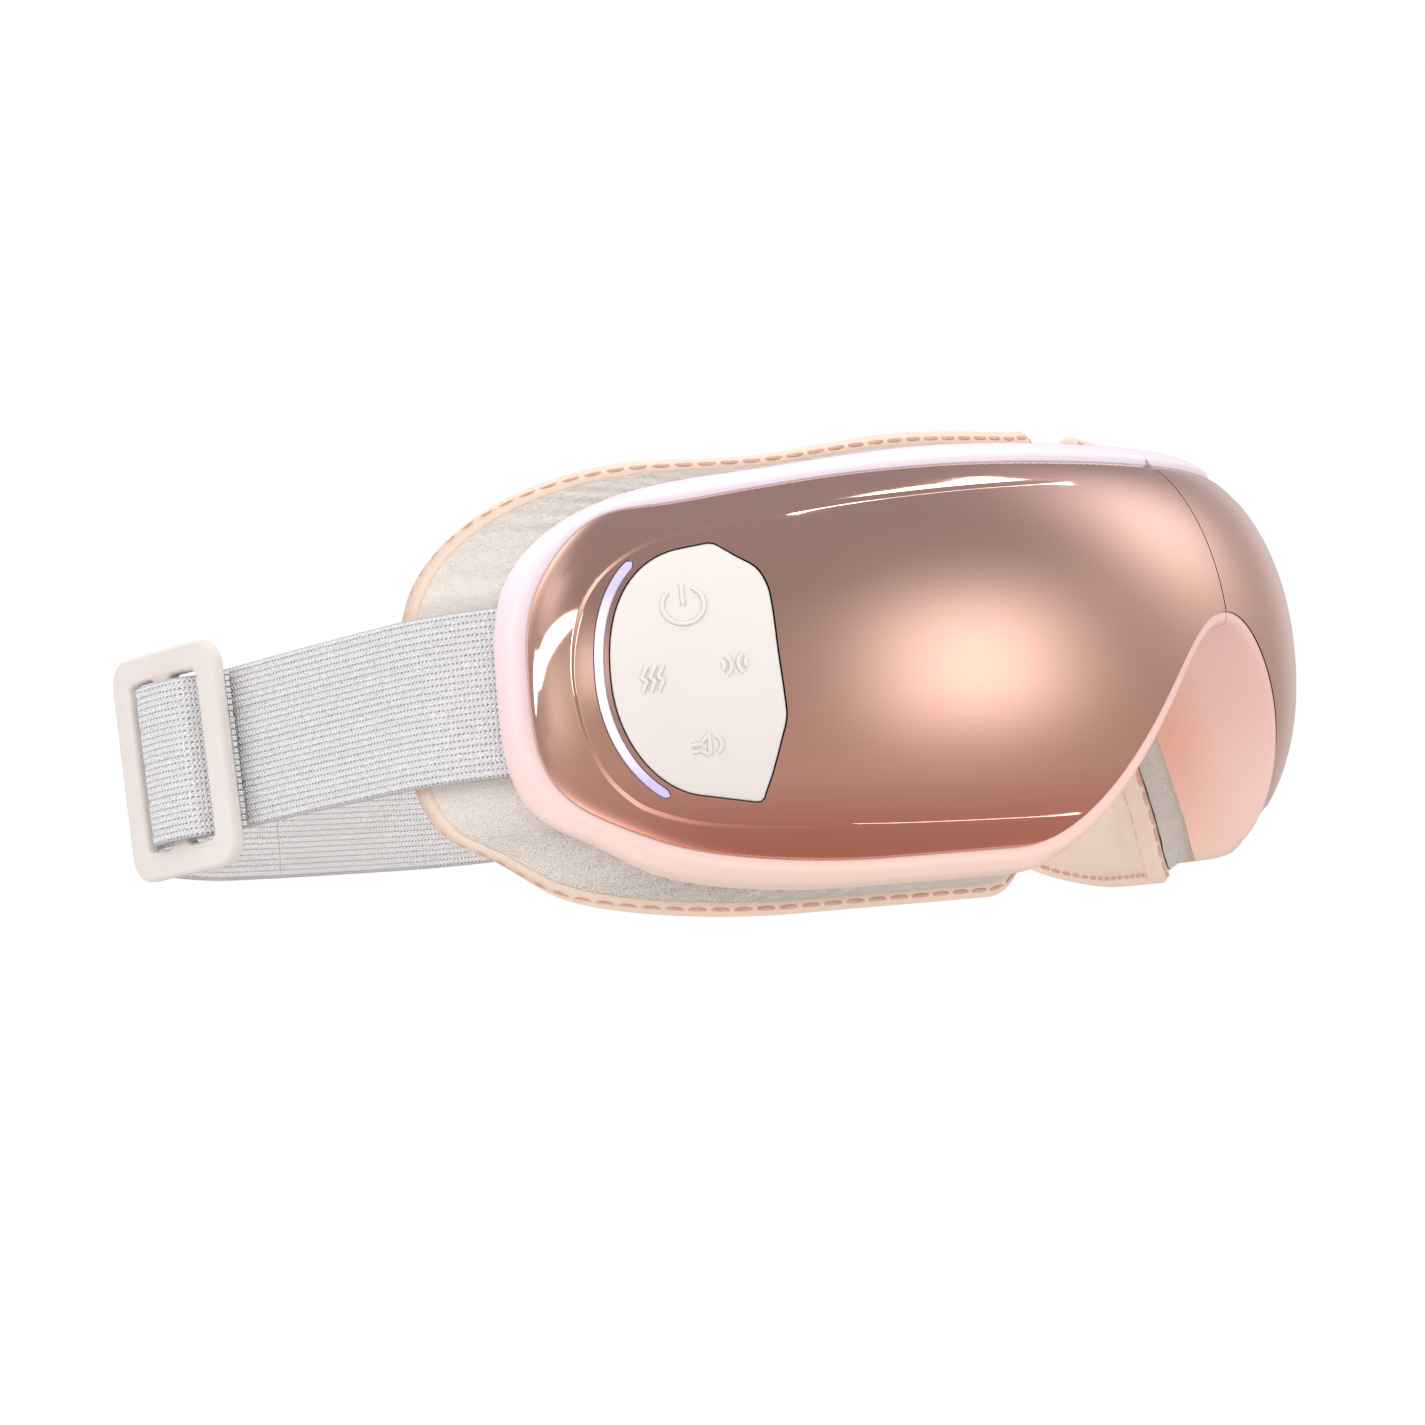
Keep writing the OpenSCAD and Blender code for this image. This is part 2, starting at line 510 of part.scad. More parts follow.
// Local +X runs back along the strap, +Y runs inwards to the head.
module buckle_frame() translate(buckle_at) rotate([0, buckle_tilt, 90 + buckle_turn])
    translate([0, -buckle_off, 0]) children();
module rounded_block(l, h, t, r) rotate([90, 0, 0]) linear_extrude(t, center = true) offset(r = r)
    square([l - 2 * r, h - 2 * r], center = true);
module slide_buckle() color(blush) right_side() buckle_frame() difference() {
    rounded_block(buckle_l, buckle_h, buckle_t, 5);
    for (x = [-1, 1]) translate([x * (centre_bar + slot_w) / 2, 0, 0])
        cube([slot_w, buckle_t + 2, window_h], center = true);
}
// The layer of strap over the middle bar, along the slide and through it.
loop_route = [[-14.5, 2.6], [-11, 2.55], [-8.9, 1.9], [-7.4, 0], [-6.2, -1.9], [-3.4, -2.75], [0, -3],
    [3.4, -2.75], [6.2, -1.9], [7.4, 0], [8.9, 1.9], [11, 2.55], [14.5, 2.6]];
module buckle_loop() color("white") right_side() buckle_frame()
    webbing([for (p = loop_route) [p[0], p[1], 0]], strap_w, 1.2);

right_front_cover();
left_front_cover();
right_frame();
left_frame();
right_backplate();
left_backplate();
right_gusset();
left_gusset();
right_face_pad();
left_face_pad();
right_eye_lining();
left_eye_lining();
right_airbag();
left_airbag();
right_heater();
left_heater();
control_panel();
switch_plungers();
tact_switches();
switch_board();
light_bar();
main_board();
speaker();
battery();
charging_port();
pump_motor();
pump_head();
air_valve();
air_hose();
right_vibration_motor();
left_vibration_motor();
right_motor_weight();
left_motor_weight();
right_hinge_leaf();
left_hinge_leaf();
hinge_pin();
bridge_boot();
right_strap_clamp();
left_strap_clamp();
right_screws();
left_screws();
right_strap_end();
left_strap_end();
right_strap();
left_strap();
slide_buckle();
buckle_loop();
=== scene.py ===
"""Looks of the folding eye massager mask: shells, panel, fabric sides, padded face side, strap and studio.

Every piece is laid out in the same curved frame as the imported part, in millimetres, and turned into metres of
the row frame by to_row(). The wearer's right half has side -1 and the left half side +1.
"""

import json
import math

import bmesh
import bpy
import numpy as np
from mathutils import Matrix, Vector
from mathutils.geometry import delaunay_2d_cdt


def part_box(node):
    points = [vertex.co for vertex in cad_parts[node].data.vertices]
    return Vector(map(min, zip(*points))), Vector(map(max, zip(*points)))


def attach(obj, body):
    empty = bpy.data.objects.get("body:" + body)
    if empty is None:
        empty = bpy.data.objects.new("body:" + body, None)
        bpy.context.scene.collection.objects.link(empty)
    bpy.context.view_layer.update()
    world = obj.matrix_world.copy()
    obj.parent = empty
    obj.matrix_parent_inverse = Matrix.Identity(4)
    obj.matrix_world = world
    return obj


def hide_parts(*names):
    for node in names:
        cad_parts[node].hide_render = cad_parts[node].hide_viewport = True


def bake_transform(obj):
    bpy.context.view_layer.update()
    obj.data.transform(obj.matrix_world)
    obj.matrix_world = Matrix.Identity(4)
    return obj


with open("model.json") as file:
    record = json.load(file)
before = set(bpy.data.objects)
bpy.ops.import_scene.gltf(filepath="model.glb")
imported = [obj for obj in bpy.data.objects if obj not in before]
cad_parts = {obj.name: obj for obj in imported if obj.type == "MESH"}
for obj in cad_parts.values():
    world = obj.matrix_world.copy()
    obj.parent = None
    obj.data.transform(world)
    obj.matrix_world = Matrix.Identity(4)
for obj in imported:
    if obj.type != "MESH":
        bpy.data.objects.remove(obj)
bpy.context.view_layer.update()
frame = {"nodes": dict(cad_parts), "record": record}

# ---------- driving sizes, in millimetres ----------
MM = 0.001
PLAN_R, COVER_H, COVER_S, DOME = 110.0, 66.0, 129.0, 13.0
ARCH_TOP, ARCH_FOOT, WALL = 5.5, 46.0, 1.8
FRAME_D, PAD_EXT, PAD_OUT, PAD_SEAM = 12.4, 32.0, 8.0, 10.5
GAP, ROUND_S, NOSE_IN = 0.15, 70.0, 3.8
HALF_HEIGHT = COVER_H / 2 + PAD_OUT
STRAP_W, STRAP_T, LOOP_BACK = 29.0, 1.8, 202.0
COVER_FRONT = 12.8        # how far the covers reach ahead of their edge at the bridge
LOOP_MID = (LOOP_BACK + STRAP_T / 2 - COVER_FRONT) / 2
MIDDLE = np.array([62.0, 0.0])
EYE, EYE_R = np.array([52.0, 2.0]), np.array([29.0, 23.0])
SIDES = {"right": -1, "left": 1}


# ---------- the curved frame of reference ----------
def clamp01(x):
    return np.clip(x, 0, 1)


def smooth01(x):
    x = clamp01(x)
    return x * x * (3 - 2 * x)


def nose_share(s, z):
    return (1 + np.cos(math.pi * clamp01((s - 40) / 48))) / 2 * clamp01((10 - z) / 40)


def at(s, z, d):
    """Points at arc length s from the bridge, height z and depth d behind the cover's edge."""
    s, z, d = np.broadcast_arrays(*(np.asarray(v, float) for v in (s, z, d)))
    r = PLAN_R - d + NOSE_IN * clamp01(d / FRAME_D) * nose_share(s, z)
    return np.stack([r * np.sin(s / PLAN_R), PLAN_R - r * np.cos(s / PLAN_R), z], -1)


def end_height(s, start, end):
    return (1 - clamp01((s - start) / (end - start)) ** 1.91) ** (1 / 3.4)


def top_dip(s):
    """The top edge sinks a little along its middle."""
    return -1.6 * np.exp(-(((s - 86) / 24) ** 2))


def top_corner(s):
    """The cover fills out at its upper temple corner."""
    return 3 * np.exp(-(((s - 117.5) / 10.5) ** 2)) * (1 - clamp01((s - ROUND_S) / (COVER_S - ROUND_S)) ** 8)


def low_corner(s, end, out):
    """At the lower temple corner every outline is drawn in, the wider ones more."""
    fade = 1 - clamp01((s - ROUND_S) / (end - ROUND_S)) ** 8
    return (0.9 + 0.35 * max(out, 0)) * np.exp(-(((s - end + 11 + 0.6 * out) / 9.5) ** 2)) * fade


def dome_at(s, z):
    height = COVER_H / 2 * end_height(np.minimum(s, COVER_S - 0.01), ROUND_S, COVER_S)
    height = height + np.where(z > 0, top_dip(s) + top_corner(s), -low_corner(s, COVER_S, 0))
    up = clamp01(np.abs(z) / height)
    return DOME * np.sqrt(1 - clamp01((s - ROUND_S) / (COVER_S - ROUND_S)) ** 2.5) * (1 - up**2.15) ** 0.714


def arch_z(s, foot, low, apex):
    return low + (apex - low) * (1 - clamp01(s / foot) ** 2.16) ** 2.9


def outline(out, ext, seam, nose, fine=5):
    """The half's outline as [s, z] points, clockwise: bridge seam, top, temple, bottom, nose arch."""
    high, end, start = COVER_H / 2 + out, COVER_S + ext, ROUND_S + ext * 0.4
    foot, apex = ARCH_FOOT - nose, ARCH_TOP - nose
    n_seam, n_top, n_bottom, n_arch = 4 * fine, 18 * fine, 16 * fine, 10 * fine
    i = np.arange(n_seam)
    seam_part = np.stack([np.full(n_seam, seam), apex + (high - apex) * i / n_seam], -1)
    s = seam + (end - seam) * np.sin(np.pi / 2 * np.arange(n_top) / n_top)
    lift = top_dip(s) * (1 + max(out, 0) / PAD_OUT) + top_corner(s) * float(clamp01(1 - out / 4))
    top = np.stack([s, high * end_height(s, start, end) + lift], -1)
    s = end - (end - foot) * (1 - np.cos(np.pi / 2 * np.arange(n_bottom) / n_bottom))
    bottom = np.stack([s, low_corner(s, end, out) - high * end_height(s, start, end)], -1)
    s = foot - (foot - seam) * np.arange(n_arch) / n_arch
    arch = np.stack([s, arch_z(s, foot, -high, apex)], -1)
    return np.concatenate([seam_part, top, bottom, arch])


def around_eye(points, grow=0.0):
    v = points - EYE
    return EYE + v / np.linalg.norm(v / (EYE_R + grow), axis=-1, keepdims=True)


def to_row(points, side):
    """Millimetres of the left half to metres of the row frame; side -1 gives the right half."""
    p = np.asarray(points, float)
    return (p * [side, 1, 1] + [0, -LOOP_MID, HALF_HEIGHT]) * MM


# ---------- meshes ----------
def make(name, verts, faces, side=1, normals=None, smooth=True):
    """An object from row-frame vertices. Faces are wound for the left half and turned over for the right."""
    mesh = bpy.data.meshes.new(name)
    faces = [tuple(int(i) for i in (f if side > 0 else reversed(f))) for f in faces]
    mesh.from_pydata([tuple(v) for v in verts], [], faces)
    mesh.update()
    if smooth:
        mesh.polygons.foreach_set("use_smooth", [True] * len(mesh.polygons))
    if normals is not None:
        mesh.normals_split_custom_set_from_vertices([tuple(n) for n in normals])
    obj = bpy.data.objects.new(name, mesh)
    bpy.context.scene.collection.objects.link(obj)
    return obj


def grid_faces(rows, cols, closed_rows=False, closed_cols=False, flip=False):
    """Quads over a grid of rows x cols vertices, numbered row by row."""
    faces = []
    for r in range(rows if closed_rows else rows - 1):
        for c in range(cols if closed_cols else cols - 1):
            a, b = r * cols + c, r * cols + (c + 1) % cols
            e, f = (r + 1) % rows * cols + (c + 1) % cols, (r + 1) % rows * cols + c
            faces.append((a, f, e, b) if flip else (a, b, e, f))
    return faces


def inside(points, polygon):
    x, y = points.T
    hit = np.zeros(len(points), bool)
    for (x0, y0), (x1, y1) in zip(polygon, np.roll(polygon, -1, 0)):
        if y0 != y1:
            hit ^= ((y0 > y) != (y1 > y)) & (x < (x1 - x0) * (y - y0) / (y1 - y0) + x0)
    return hit


def away_from(points, polygon, distance):
    keep = np.ones(len(points), bool)
    for a, b in zip(polygon, np.roll(polygon, -1, 0)):
        ab = b - a
        t = clamp01(((points - a) @ ab) / max(ab @ ab, 1e-9))[:, None]
        keep &= np.linalg.norm(points - a - t * ab, axis=1) > distance
    return keep


def filled(boundary, holes, loose):
    """Points and counterclockwise triangles of a flat region with holes, through the loose points."""
    loops = [boundary] + list(holes)
    verts, edges = [], []
    for loop in loops:
        n = len(verts)
        verts += [Vector(p) for p in loop]
        edges += [(n + i, n + (i + 1) % len(loop)) for i in range(len(loop))]
    verts += [Vector(p) for p in loose]
    co, _, tris, *_ = delaunay_2d_cdt(verts, edges, [], 2, 1e-5)
    co = np.array([(v.x, v.y) for v in co])
    tris = np.array([t for t in tris if len(t) == 3])
    mid = co[tris].mean(1)
    keep = inside(mid, boundary)
    for hole in holes:
        keep &= ~inside(mid, hole)
    return co, tris[keep]


def spread_points(boundary, holes, step, rings, centre, clear=0.35):
    """Grid points inside the boundary, with rings of points crowded along it, clear of the holes."""
    low, high = boundary.min(0), boundary.max(0)
    grid = np.meshgrid(*(np.arange(low[k], high[k], step) for k in (0, 1)))
    g = np.stack(grid, -1).reshape(-1, 2)
    g[:, 0] += (np.round((g[:, 1] - low[1]) / step) % 2) * step / 2
    core = centre + (boundary - centre) * rings[-1]
    g = g[inside(g, core) & away_from(g, core, clear)]
    points = np.concatenate([g] + [centre + (boundary - centre) * k for k in rings])
    for hole in holes:
        points = points[~inside(points, hole) & away_from(points, hole, clear)]
    return points


def surface_normals(place, st, eps=0.05):
    """Outward unit normals of the surface place(s, z) at [s, z] points."""
    s, z = st.T
    ds = place(s + eps, z) - place(s - eps, z)
    dz = place(s, z + eps) - place(s, z - eps)
    n = np.cross(ds, dz)
    return n / np.maximum(np.linalg.norm(n, axis=1, keepdims=True), 1e-9)


def spline(a, b, c, d, t):
    """The Catmull-Rom curve from b to c, with t from 0 to 1."""
    return 0.5 * (2 * b + (c - a) * t + (2 * a - 5 * b + 4 * c - d) * t**2 + (3 * b - a - 3 * c + d) * t**3)


def catmull(points, per):
    """A smooth line through the points, with per steps between neighbours."""
    p = np.asarray(points, float)
    p = np.concatenate([2 * p[:1] - p[1:2], p, 2 * p[-1:] - p[-2:-1]])
    t = (np.arange(per) / per)[:, None]
    out = [spline(a, b, c, d, t) for a, b, c, d in zip(p[:-3], p[1:-2], p[2:-1], p[3:])]
    return np.concatenate(out + [p[-2:-1]])


def dense(points, step):
    """The same line with points about every step."""
    p = np.asarray(points, float)
    run = np.concatenate([[0], np.cumsum(np.linalg.norm(np.diff(p, axis=0), axis=1))])
    n = max(2, int(round(run[-1] / step)) + 1)
    want = np.linspace(0, run[-1], n)
    return np.stack([np.interp(want, run, p[:, k]) for k in range(p.shape[1])], -1)


def joined(name, parts, side=1):
    """One mesh from (vertices, faces) parts."""
    verts, faces = [], []
    for v, f in parts:
        n = len(verts)
        verts += [tuple(p) for p in v]
        faces += [tuple(n + int(i) for i in face) for face in f]
    return make(name, verts, faces, side)


def modified(obj, apply):
    """Adds modifiers with apply(obj), then keeps their result as the object's mesh."""
    apply(obj)
    bpy.context.view_layer.update()
    graph = bpy.context.evaluated_depsgraph_get()
    shape = obj.evaluated_get(graph)
    mesh = bpy.data.meshes.new_from_object(shape, preserve_all_data_layers=True, depsgraph=graph)
    obj.modifiers.clear()
    old, obj.data = obj.data, mesh
    bpy.data.meshes.remove(old)
    return obj


def welded(obj, distance):
    return modified(obj, lambda o: setattr(o.modifiers.new("weld", "WELD"), "merge_threshold", distance))


def sharp_over(obj, degrees):
    obj.data.set_sharp_from_angle(angle=math.radians(degrees))


# ---------- materials ----------
def set_stops(ramp, stops):
    """Gives a colour ramp node its stops, as (position, (r, g, b))."""
    while len(ramp.color_ramp.elements) < len(stops):
        ramp.color_ramp.elements.new(0.5)
    for element, (position, colour) in zip(ramp.color_ramp.elements, stops):
        element.position, element.color = position, (*colour, 1)


class Paint:
    """A node material: one Principled shader whose colour, roughness and bump are procedural."""

    def __init__(self, name, **sockets):
        self.mat = bpy.data.materials.new(name)
        self.mat.use_nodes = True
        self.tree = self.mat.node_tree
        self.shader = self.tree.nodes["Principled BSDF"]
        for key, value in sockets.items():
            self.shader.inputs[key.replace("_", " ")].default_value = value
        self.coords = self.tree.nodes.new("ShaderNodeTexCoord")
        self.height = None

    def node(self, kind, links=(), **values):
        n = self.tree.nodes.new(kind)
        for key, value in values.items():
            if hasattr(n, key):
                setattr(n, key, value)
            else:
                n.inputs[key.replace("_", " ")].default_value = value
        for socket, source in dict(links).items():
            self.tree.links.new(source, n.inputs[socket])
        return n

    def axis(self, name, kind="Object"):
        return self.node("ShaderNodeSeparateXYZ", {"Vector": self.coords.outputs[kind]}).outputs[name]

    def pattern(self, kind, output, vector, **values):
        place = vector or self.coords.outputs["Object"]
        return self.node(kind, {"Vector": place}, **values).outputs[output]

    def noise(self, scale, detail, vector=None):
        return self.pattern("ShaderNodeTexNoise", "Fac", vector, Scale=scale, Detail=detail, Roughness=0.55)

    def cells(self, scale, vector=None):
        return self.pattern("ShaderNodeTexVoronoi", "Distance", vector, feature="DISTANCE_TO_EDGE",
                            Scale=scale)

    def wave(self, scale, axis, vector=None):
        return self.pattern("ShaderNodeTexWave", "Fac", vector, bands_direction=axis, Scale=scale)

    def math(self, operation, a, b=None):
        links, values = {}, {}
        n = self.node("ShaderNodeMath", operation=operation)
        for i, v in enumerate((a, b)):
            if v is None:
                continue
            if isinstance(v, (int, float)):
                n.inputs[i].default_value = v
            else:
                self.tree.links.new(v, n.inputs[i])
        return n.outputs[0]

    def span(self, value, start, end):
        """0 to 1 as the value runs from start to end."""
        n = self.node("ShaderNodeMapRange", {"Value": value})
        n.inputs["From Min"].default_value, n.inputs["From Max"].default_value = start, end
        return n.outputs[0]

    def weighted(self, a, share_a, b, share_b):
        return self.math("ADD", self.math("MULTIPLY", a, share_a), self.math("MULTIPLY", b, share_b))

    def stirred(self, value, scale, detail, amount):
        """The value with a little noise added."""
        noise = self.math("SUBTRACT", self.noise(scale, detail), 0.5)
        return self.math("ADD", value, self.math("MULTIPLY", noise, amount))

    def ramp(self, factor, stops):
        n = self.node("ShaderNodeValToRGB", {"Fac": factor})
        set_stops(n, stops)
        return n.outputs["Color"]

    def colour(self, factor, stops):
        self.tree.links.new(self.ramp(factor, stops), self.shader.inputs["Base Color"])
        return self

    def mix_colour(self, factor, a, b):
        n = self.node("ShaderNodeMix", data_type="RGBA")
        for socket, v in ((n.inputs["Factor"], factor), (n.inputs[6], a), (n.inputs[7], b)):
            if isinstance(v, tuple):
                socket.default_value = (*v, 1)
            elif isinstance(v, (int, float)):
                socket.default_value = v
            else:
                self.tree.links.new(v, socket)
        return n.outputs[2]

    def rough(self, factor, low, high):
        n = self.node("ShaderNodeMapRange", {"Value": factor})
        n.inputs["To Min"].default_value, n.inputs["To Max"].default_value = low, high
        self.tree.links.new(n.outputs[0], self.shader.inputs["Roughness"])
        return self

    def bump(self, factor, distance, strength=1.0):
        links = {"Height": factor}
        if self.height is not None:
            links["Normal"] = self.height
        self.height = self.node("ShaderNodeBump", links, Distance=distance, Strength=strength).outputs[0]
        self.tree.links.new(self.height, self.shader.inputs["Normal"])
        return self


def rose_mirror():
    p = Paint("rose_mirror", Metallic=1.0)
    # Painted reflection and shade: the plating is coloured darker and redder towards the bottom and paler
    # higher up, by height.
    share = p.stirred(p.span(p.axis("Z"), 0.008, 0.074), 9, 2, 0.16)
    p.colour(share, [(0.02, (0.78, 0.37, 0.28)), (0.09, (0.80, 0.43, 0.33)), (0.18, (0.83, 0.53, 0.43)),
                     (0.62, (0.85, 0.57, 0.47)), (1.0, (0.82, 0.57, 0.50))])
    p.rough(p.noise(160, 4), 0.045, 0.08)
    return p.bump(p.noise(40, 2), 0.00004, 0.25).mat


def blush_plastic():
    p = Paint("blush_plastic", Coat_Weight=0.25, Coat_Roughness=0.25, Subsurface_Weight=0.06,
              Subsurface_Scale=0.004)
    p.shader.inputs["Subsurface Radius"].default_value = (1.0, 0.5, 0.4)
    # Painted light: the plastic's colour runs from peach low down to a paler lilac high up, by height.
    share = p.stirred(p.span(p.axis("Z"), 0, 0.082), 25, 3, 0.2)
    pale = p.ramp(share, [(0.05, (1.0, 0.74, 0.63)), (0.45, (0.90, 0.69, 0.70)), (0.95, (0.92, 0.83, 0.91))])
    # Painted shade: the inside of the nose arch is painted a darker, warmer peach, deeper towards the face.
    near_middle = p.span(p.math("ABSOLUTE", p.axis("X")), 0.040, 0.018)
    arch = p.math("MULTIPLY", near_middle, p.span(p.axis("Z"), 0.053, 0.047))
    depth = p.math("ADD", p.math("MULTIPLY", p.span(p.axis("Y"), -0.095, -0.086), 0.45), 0.55)
    warm = p.mix_colour(p.math("MULTIPLY", arch, depth), pale, (0.84, 0.45, 0.33))
    p.tree.links.new(warm, p.shader.inputs["Base Color"])
    p.rough(p.noise(300, 3), 0.3, 0.42)
    return p.bump(p.noise(2600, 2), 0.00003, 0.25).mat


def leather(name, colours):
    p = Paint(name, Coat_Weight=0.06, Coat_Roughness=0.5, Sheen_Weight=0.05)
    p.colour(p.weighted(p.noise(60, 4), 0.7, p.noise(900, 3), 0.3), colours)
    p.rough(p.noise(500, 3), 0.42, 0.6)
    p.bump(p.noise(110, 4), 0.0004, 0.25)
    p.bump(p.cells(1100), 0.00016, 0.55)
    return p.bump(p.noise(3500, 2), 0.00005, 0.4).mat


def woven(name, colours, threads):
    """A plain weave along both directions of the piece's UV map, which is laid out in millimetres."""
    p = Paint(name, Sheen_Weight=0.3, Sheen_Roughness=0.5, Specular_IOR_Level=0.25)
    uv = p.coords.outputs["UV"]
    shake = p.node("ShaderNodeTexNoise", {"Vector": uv}, Scale=0.8, Detail=2.0).outputs["Color"]
    shake = p.node("ShaderNodeVectorMath", {0: shake}, operation="SCALE", Scale=0.35).outputs[0]
    uv = p.node("ShaderNodeVectorMath", {0: uv, 1: shake}, operation="ADD").outputs[0]
    warp, weft = (p.math("SUBTRACT", p.wave(threads, axis, uv), 0.5) for axis in ("X", "Y"))
    check = p.math("ADD", p.math("MULTIPLY", p.math("MULTIPLY", warp, weft), 2.0), 0.5)
    slub = p.noise(1.1, 3, uv)
    p.colour(p.weighted(check, 0.5, slub, 0.5), colours)
    p.rough(slub, 0.72, 0.92)
    p.bump(check, 0.00022, 0.9)
    return p.bump(p.noise(2.2, 3, uv), 0.00022, 0.5).mat


KNIT_RIB, KNIT_STITCH = 1.1, 0.86     # width of one knitted rib and pitch of its stitches, in millimetres


def knitted(name, colours, edge_colour):
    """Ribbed elastic: fine knit stitches along the webbing, greyer at both edges. UV is in millimetres."""
    p = Paint(name, Sheen_Weight=0.25, Sheen_Roughness=0.5, Specular_IOR_Level=0.2)
    uv, v = p.coords.outputs["UV"], p.axis("Y", "UV")
    fold = p.math("PINGPONG", v, KNIT_RIB / 2)
    slant = p.math("ADD", p.axis("X", "UV"), p.math("MULTIPLY", fold, 1.1))
    loop = p.math("SINE", p.math("MULTIPLY", slant, 2 * math.pi / KNIT_STITCH))
    valley = p.span(fold, KNIT_RIB * 0.33, KNIT_RIB * 0.5)
    stitch = p.math("ADD", p.weighted(loop, 0.44, valley, -0.7), 0.66)
    slub = p.noise(0.9, 3, uv)
    # Painted shade: the ramp turns the valleys between ribs and the hollows of the stitch loops grey, besides
    # the bump below.
    base = p.ramp(p.weighted(stitch, 0.72, slub, 0.28), colours)
    edge = p.span(p.math("ABSOLUTE", p.math("SUBTRACT", v, STRAP_W / 2)), 13.9, 14.4)
    p.tree.links.new(p.mix_colour(edge, base, edge_colour), p.shader.inputs["Base Color"])
    p.rough(slub, 0.75, 0.95)
    p.bump(stitch, 0.0005, 0.9)
    return p.bump(p.noise(2.5, 3, uv), 0.0002, 0.5).mat


def eye_mesh():
    p = Paint("eye_mesh", Sheen_Weight=0.3, Sheen_Roughness=0.4)
    uv = p.coords.outputs["UV"]
    holes = p.cells(0.95, uv)
    # Painted shade: the middles of the cells, the mesh's openings, are painted dark brown, the threads between
    # them pale gold.
    p.colour(p.weighted(holes, 1.2, p.noise(0.7, 3, uv), 0.3),
             [(0.1, (0.72, 0.62, 0.46)), (0.35, (0.60, 0.50, 0.36)), (0.8, (0.34, 0.27, 0.19))])
    p.rough(p.noise(0.5, 2, uv), 0.5, 0.75)
    p.bump(p.math("SUBTRACT", 1.0, p.math("MINIMUM", p.math("MULTIPLY", holes, 2.4), 1.0)), 0.0004, 0.9)
    return p.mat


def moulded(name, low, high, rough=(0.35, 0.5), metallic=0.0, grain=1800, **sockets):
    p = Paint(name, Metallic=metallic, **sockets)
    p.colour(p.noise(30, 3), [(0.3, low), (0.7, high)])
    p.rough(p.noise(260, 3), *rough)
    return p.bump(p.noise(grain, 2), 0.00004, 0.3).mat


def light_guide():
    p = Paint("light_guide", Coat_Weight=0.4, Coat_Roughness=0.12, Emission_Strength=0.22)
    p.shader.inputs["Emission Color"].default_value = (0.80, 0.74, 1.0, 1)
    # White in the middle of the bar, lilac towards both ends.
    above = p.math("SUBTRACT", p.axis("Z"), (HALF_HEIGHT + BAR_MIDDLE) * MM)
    p.colour(p.stirred(p.span(p.math("ABSOLUTE", above), 0.009, 0.017), 60, 2, 0.1),
             [(0.2, (0.88, 0.84, 0.94)), (0.9, (0.52, 0.47, 0.76))])
    p.rough(p.noise(300, 2), 0.22, 0.34)
    return p.mat


BAR_MIDDLE = -1.5         # height of the light bar's middle over the mask's own middle
SAND = [(0.2, (0.90, 0.82, 0.72)), (0.5, (0.98, 0.91, 0.82)), (0.85, (1.0, 0.97, 0.91))]
# The grey first stop of ELASTIC_WHITE is the knit's painted shade.
ELASTIC_WHITE = [(0.05, (0.56, 0.56, 0.58)), (0.24, (0.94, 0.94, 0.95)), (0.45, (1.0, 1.0, 1.0))]
LEATHER_CREAM = [(0.3, (0.80, 0.63, 0.50)), (0.7, (0.87, 0.70, 0.57))]
finishes = {
    "rose_mirror": rose_mirror(),
    "blush_plastic": blush_plastic(),
    "cream_leather": leather("cream_leather", LEATHER_CREAM),
    "eye_mesh": eye_mesh(),
    "sand_fabric": woven("sand_fabric", SAND, 0.8),
    "elastic_white": knitted("elastic_white", ELASTIC_WHITE, (0.55, 0.54, 0.55)),
    "cream_plastic": moulded("cream_plastic", (0.81, 0.77, 0.72), (0.85, 0.81, 0.765), (0.38, 0.5),
                             Subsurface_Weight=0.08, Subsurface_Scale=0.002),
    "slide_plastic": moulded("slide_plastic", (0.71, 0.66, 0.62), (0.76, 0.71, 0.67), (0.42, 0.55)),
    "light_guide": light_guide(),
    "inner_plastic": moulded("inner_plastic", (0.50, 0.46, 0.41), (0.56, 0.52, 0.47), (0.45, 0.6)),
    "dark_plastic": moulded("dark_plastic", (0.03, 0.03, 0.035), (0.06, 0.06, 0.065), (0.4, 0.55)),
    "board_green": moulded("board_green", (0.02, 0.13, 0.06), (0.03, 0.2, 0.09), (0.3, 0.45)),
    "steel": moulded("steel", (0.5, 0.5, 0.5), (0.62, 0.62, 0.63), (0.22, 0.4), 1.0, 900),
    "battery_wrap": moulded("battery_wrap", (0.08, 0.2, 0.42), (0.1, 0.26, 0.5), (0.3, 0.4)),
    "clear_film": moulded("clear_film", (0.75, 0.78, 0.8), (0.85, 0.87, 0.9), (0.15, 0.3),
                          Transmission_Weight=0.6),
    "heater_film": moulded("heater_film", (0.6, 0.26, 0.06), (0.72, 0.36, 0.1), (0.25, 0.4)),
    "silicone": moulded("silicone", (0.7, 0.7, 0.72), (0.8, 0.8, 0.82), (0.35, 0.5), Subsurface_Weight=0.1,
                        Subsurface_Scale=0.002),
}
for part in frame["record"]["subparts"]:
    node = frame["nodes"][part["node"]]
    node.data.materials.clear()
    node.data.materials.append(finishes[part["material_slot"]])


def finish_piece(obj, finish, body, replaces=()):
    obj.data.materials.clear()
    obj.data.materials.append(finishes[finish] if isinstance(finish, str) else finish)
    if body:
        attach(obj, body)
    if replaces:
        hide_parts(*replaces)
    return obj


def millimetre_uv(obj, uv):
    """Gives the mesh a UV map, from per-vertex coordinates in millimetres."""
    layer = obj.data.uv_layers.new(name="millimetres")
    index = np.zeros(len(obj.data.loops), int)
    obj.data.loops.foreach_get("vertex_index", index)
    layer.data.foreach_set("uv", np.asarray(uv, float)[index].ravel())


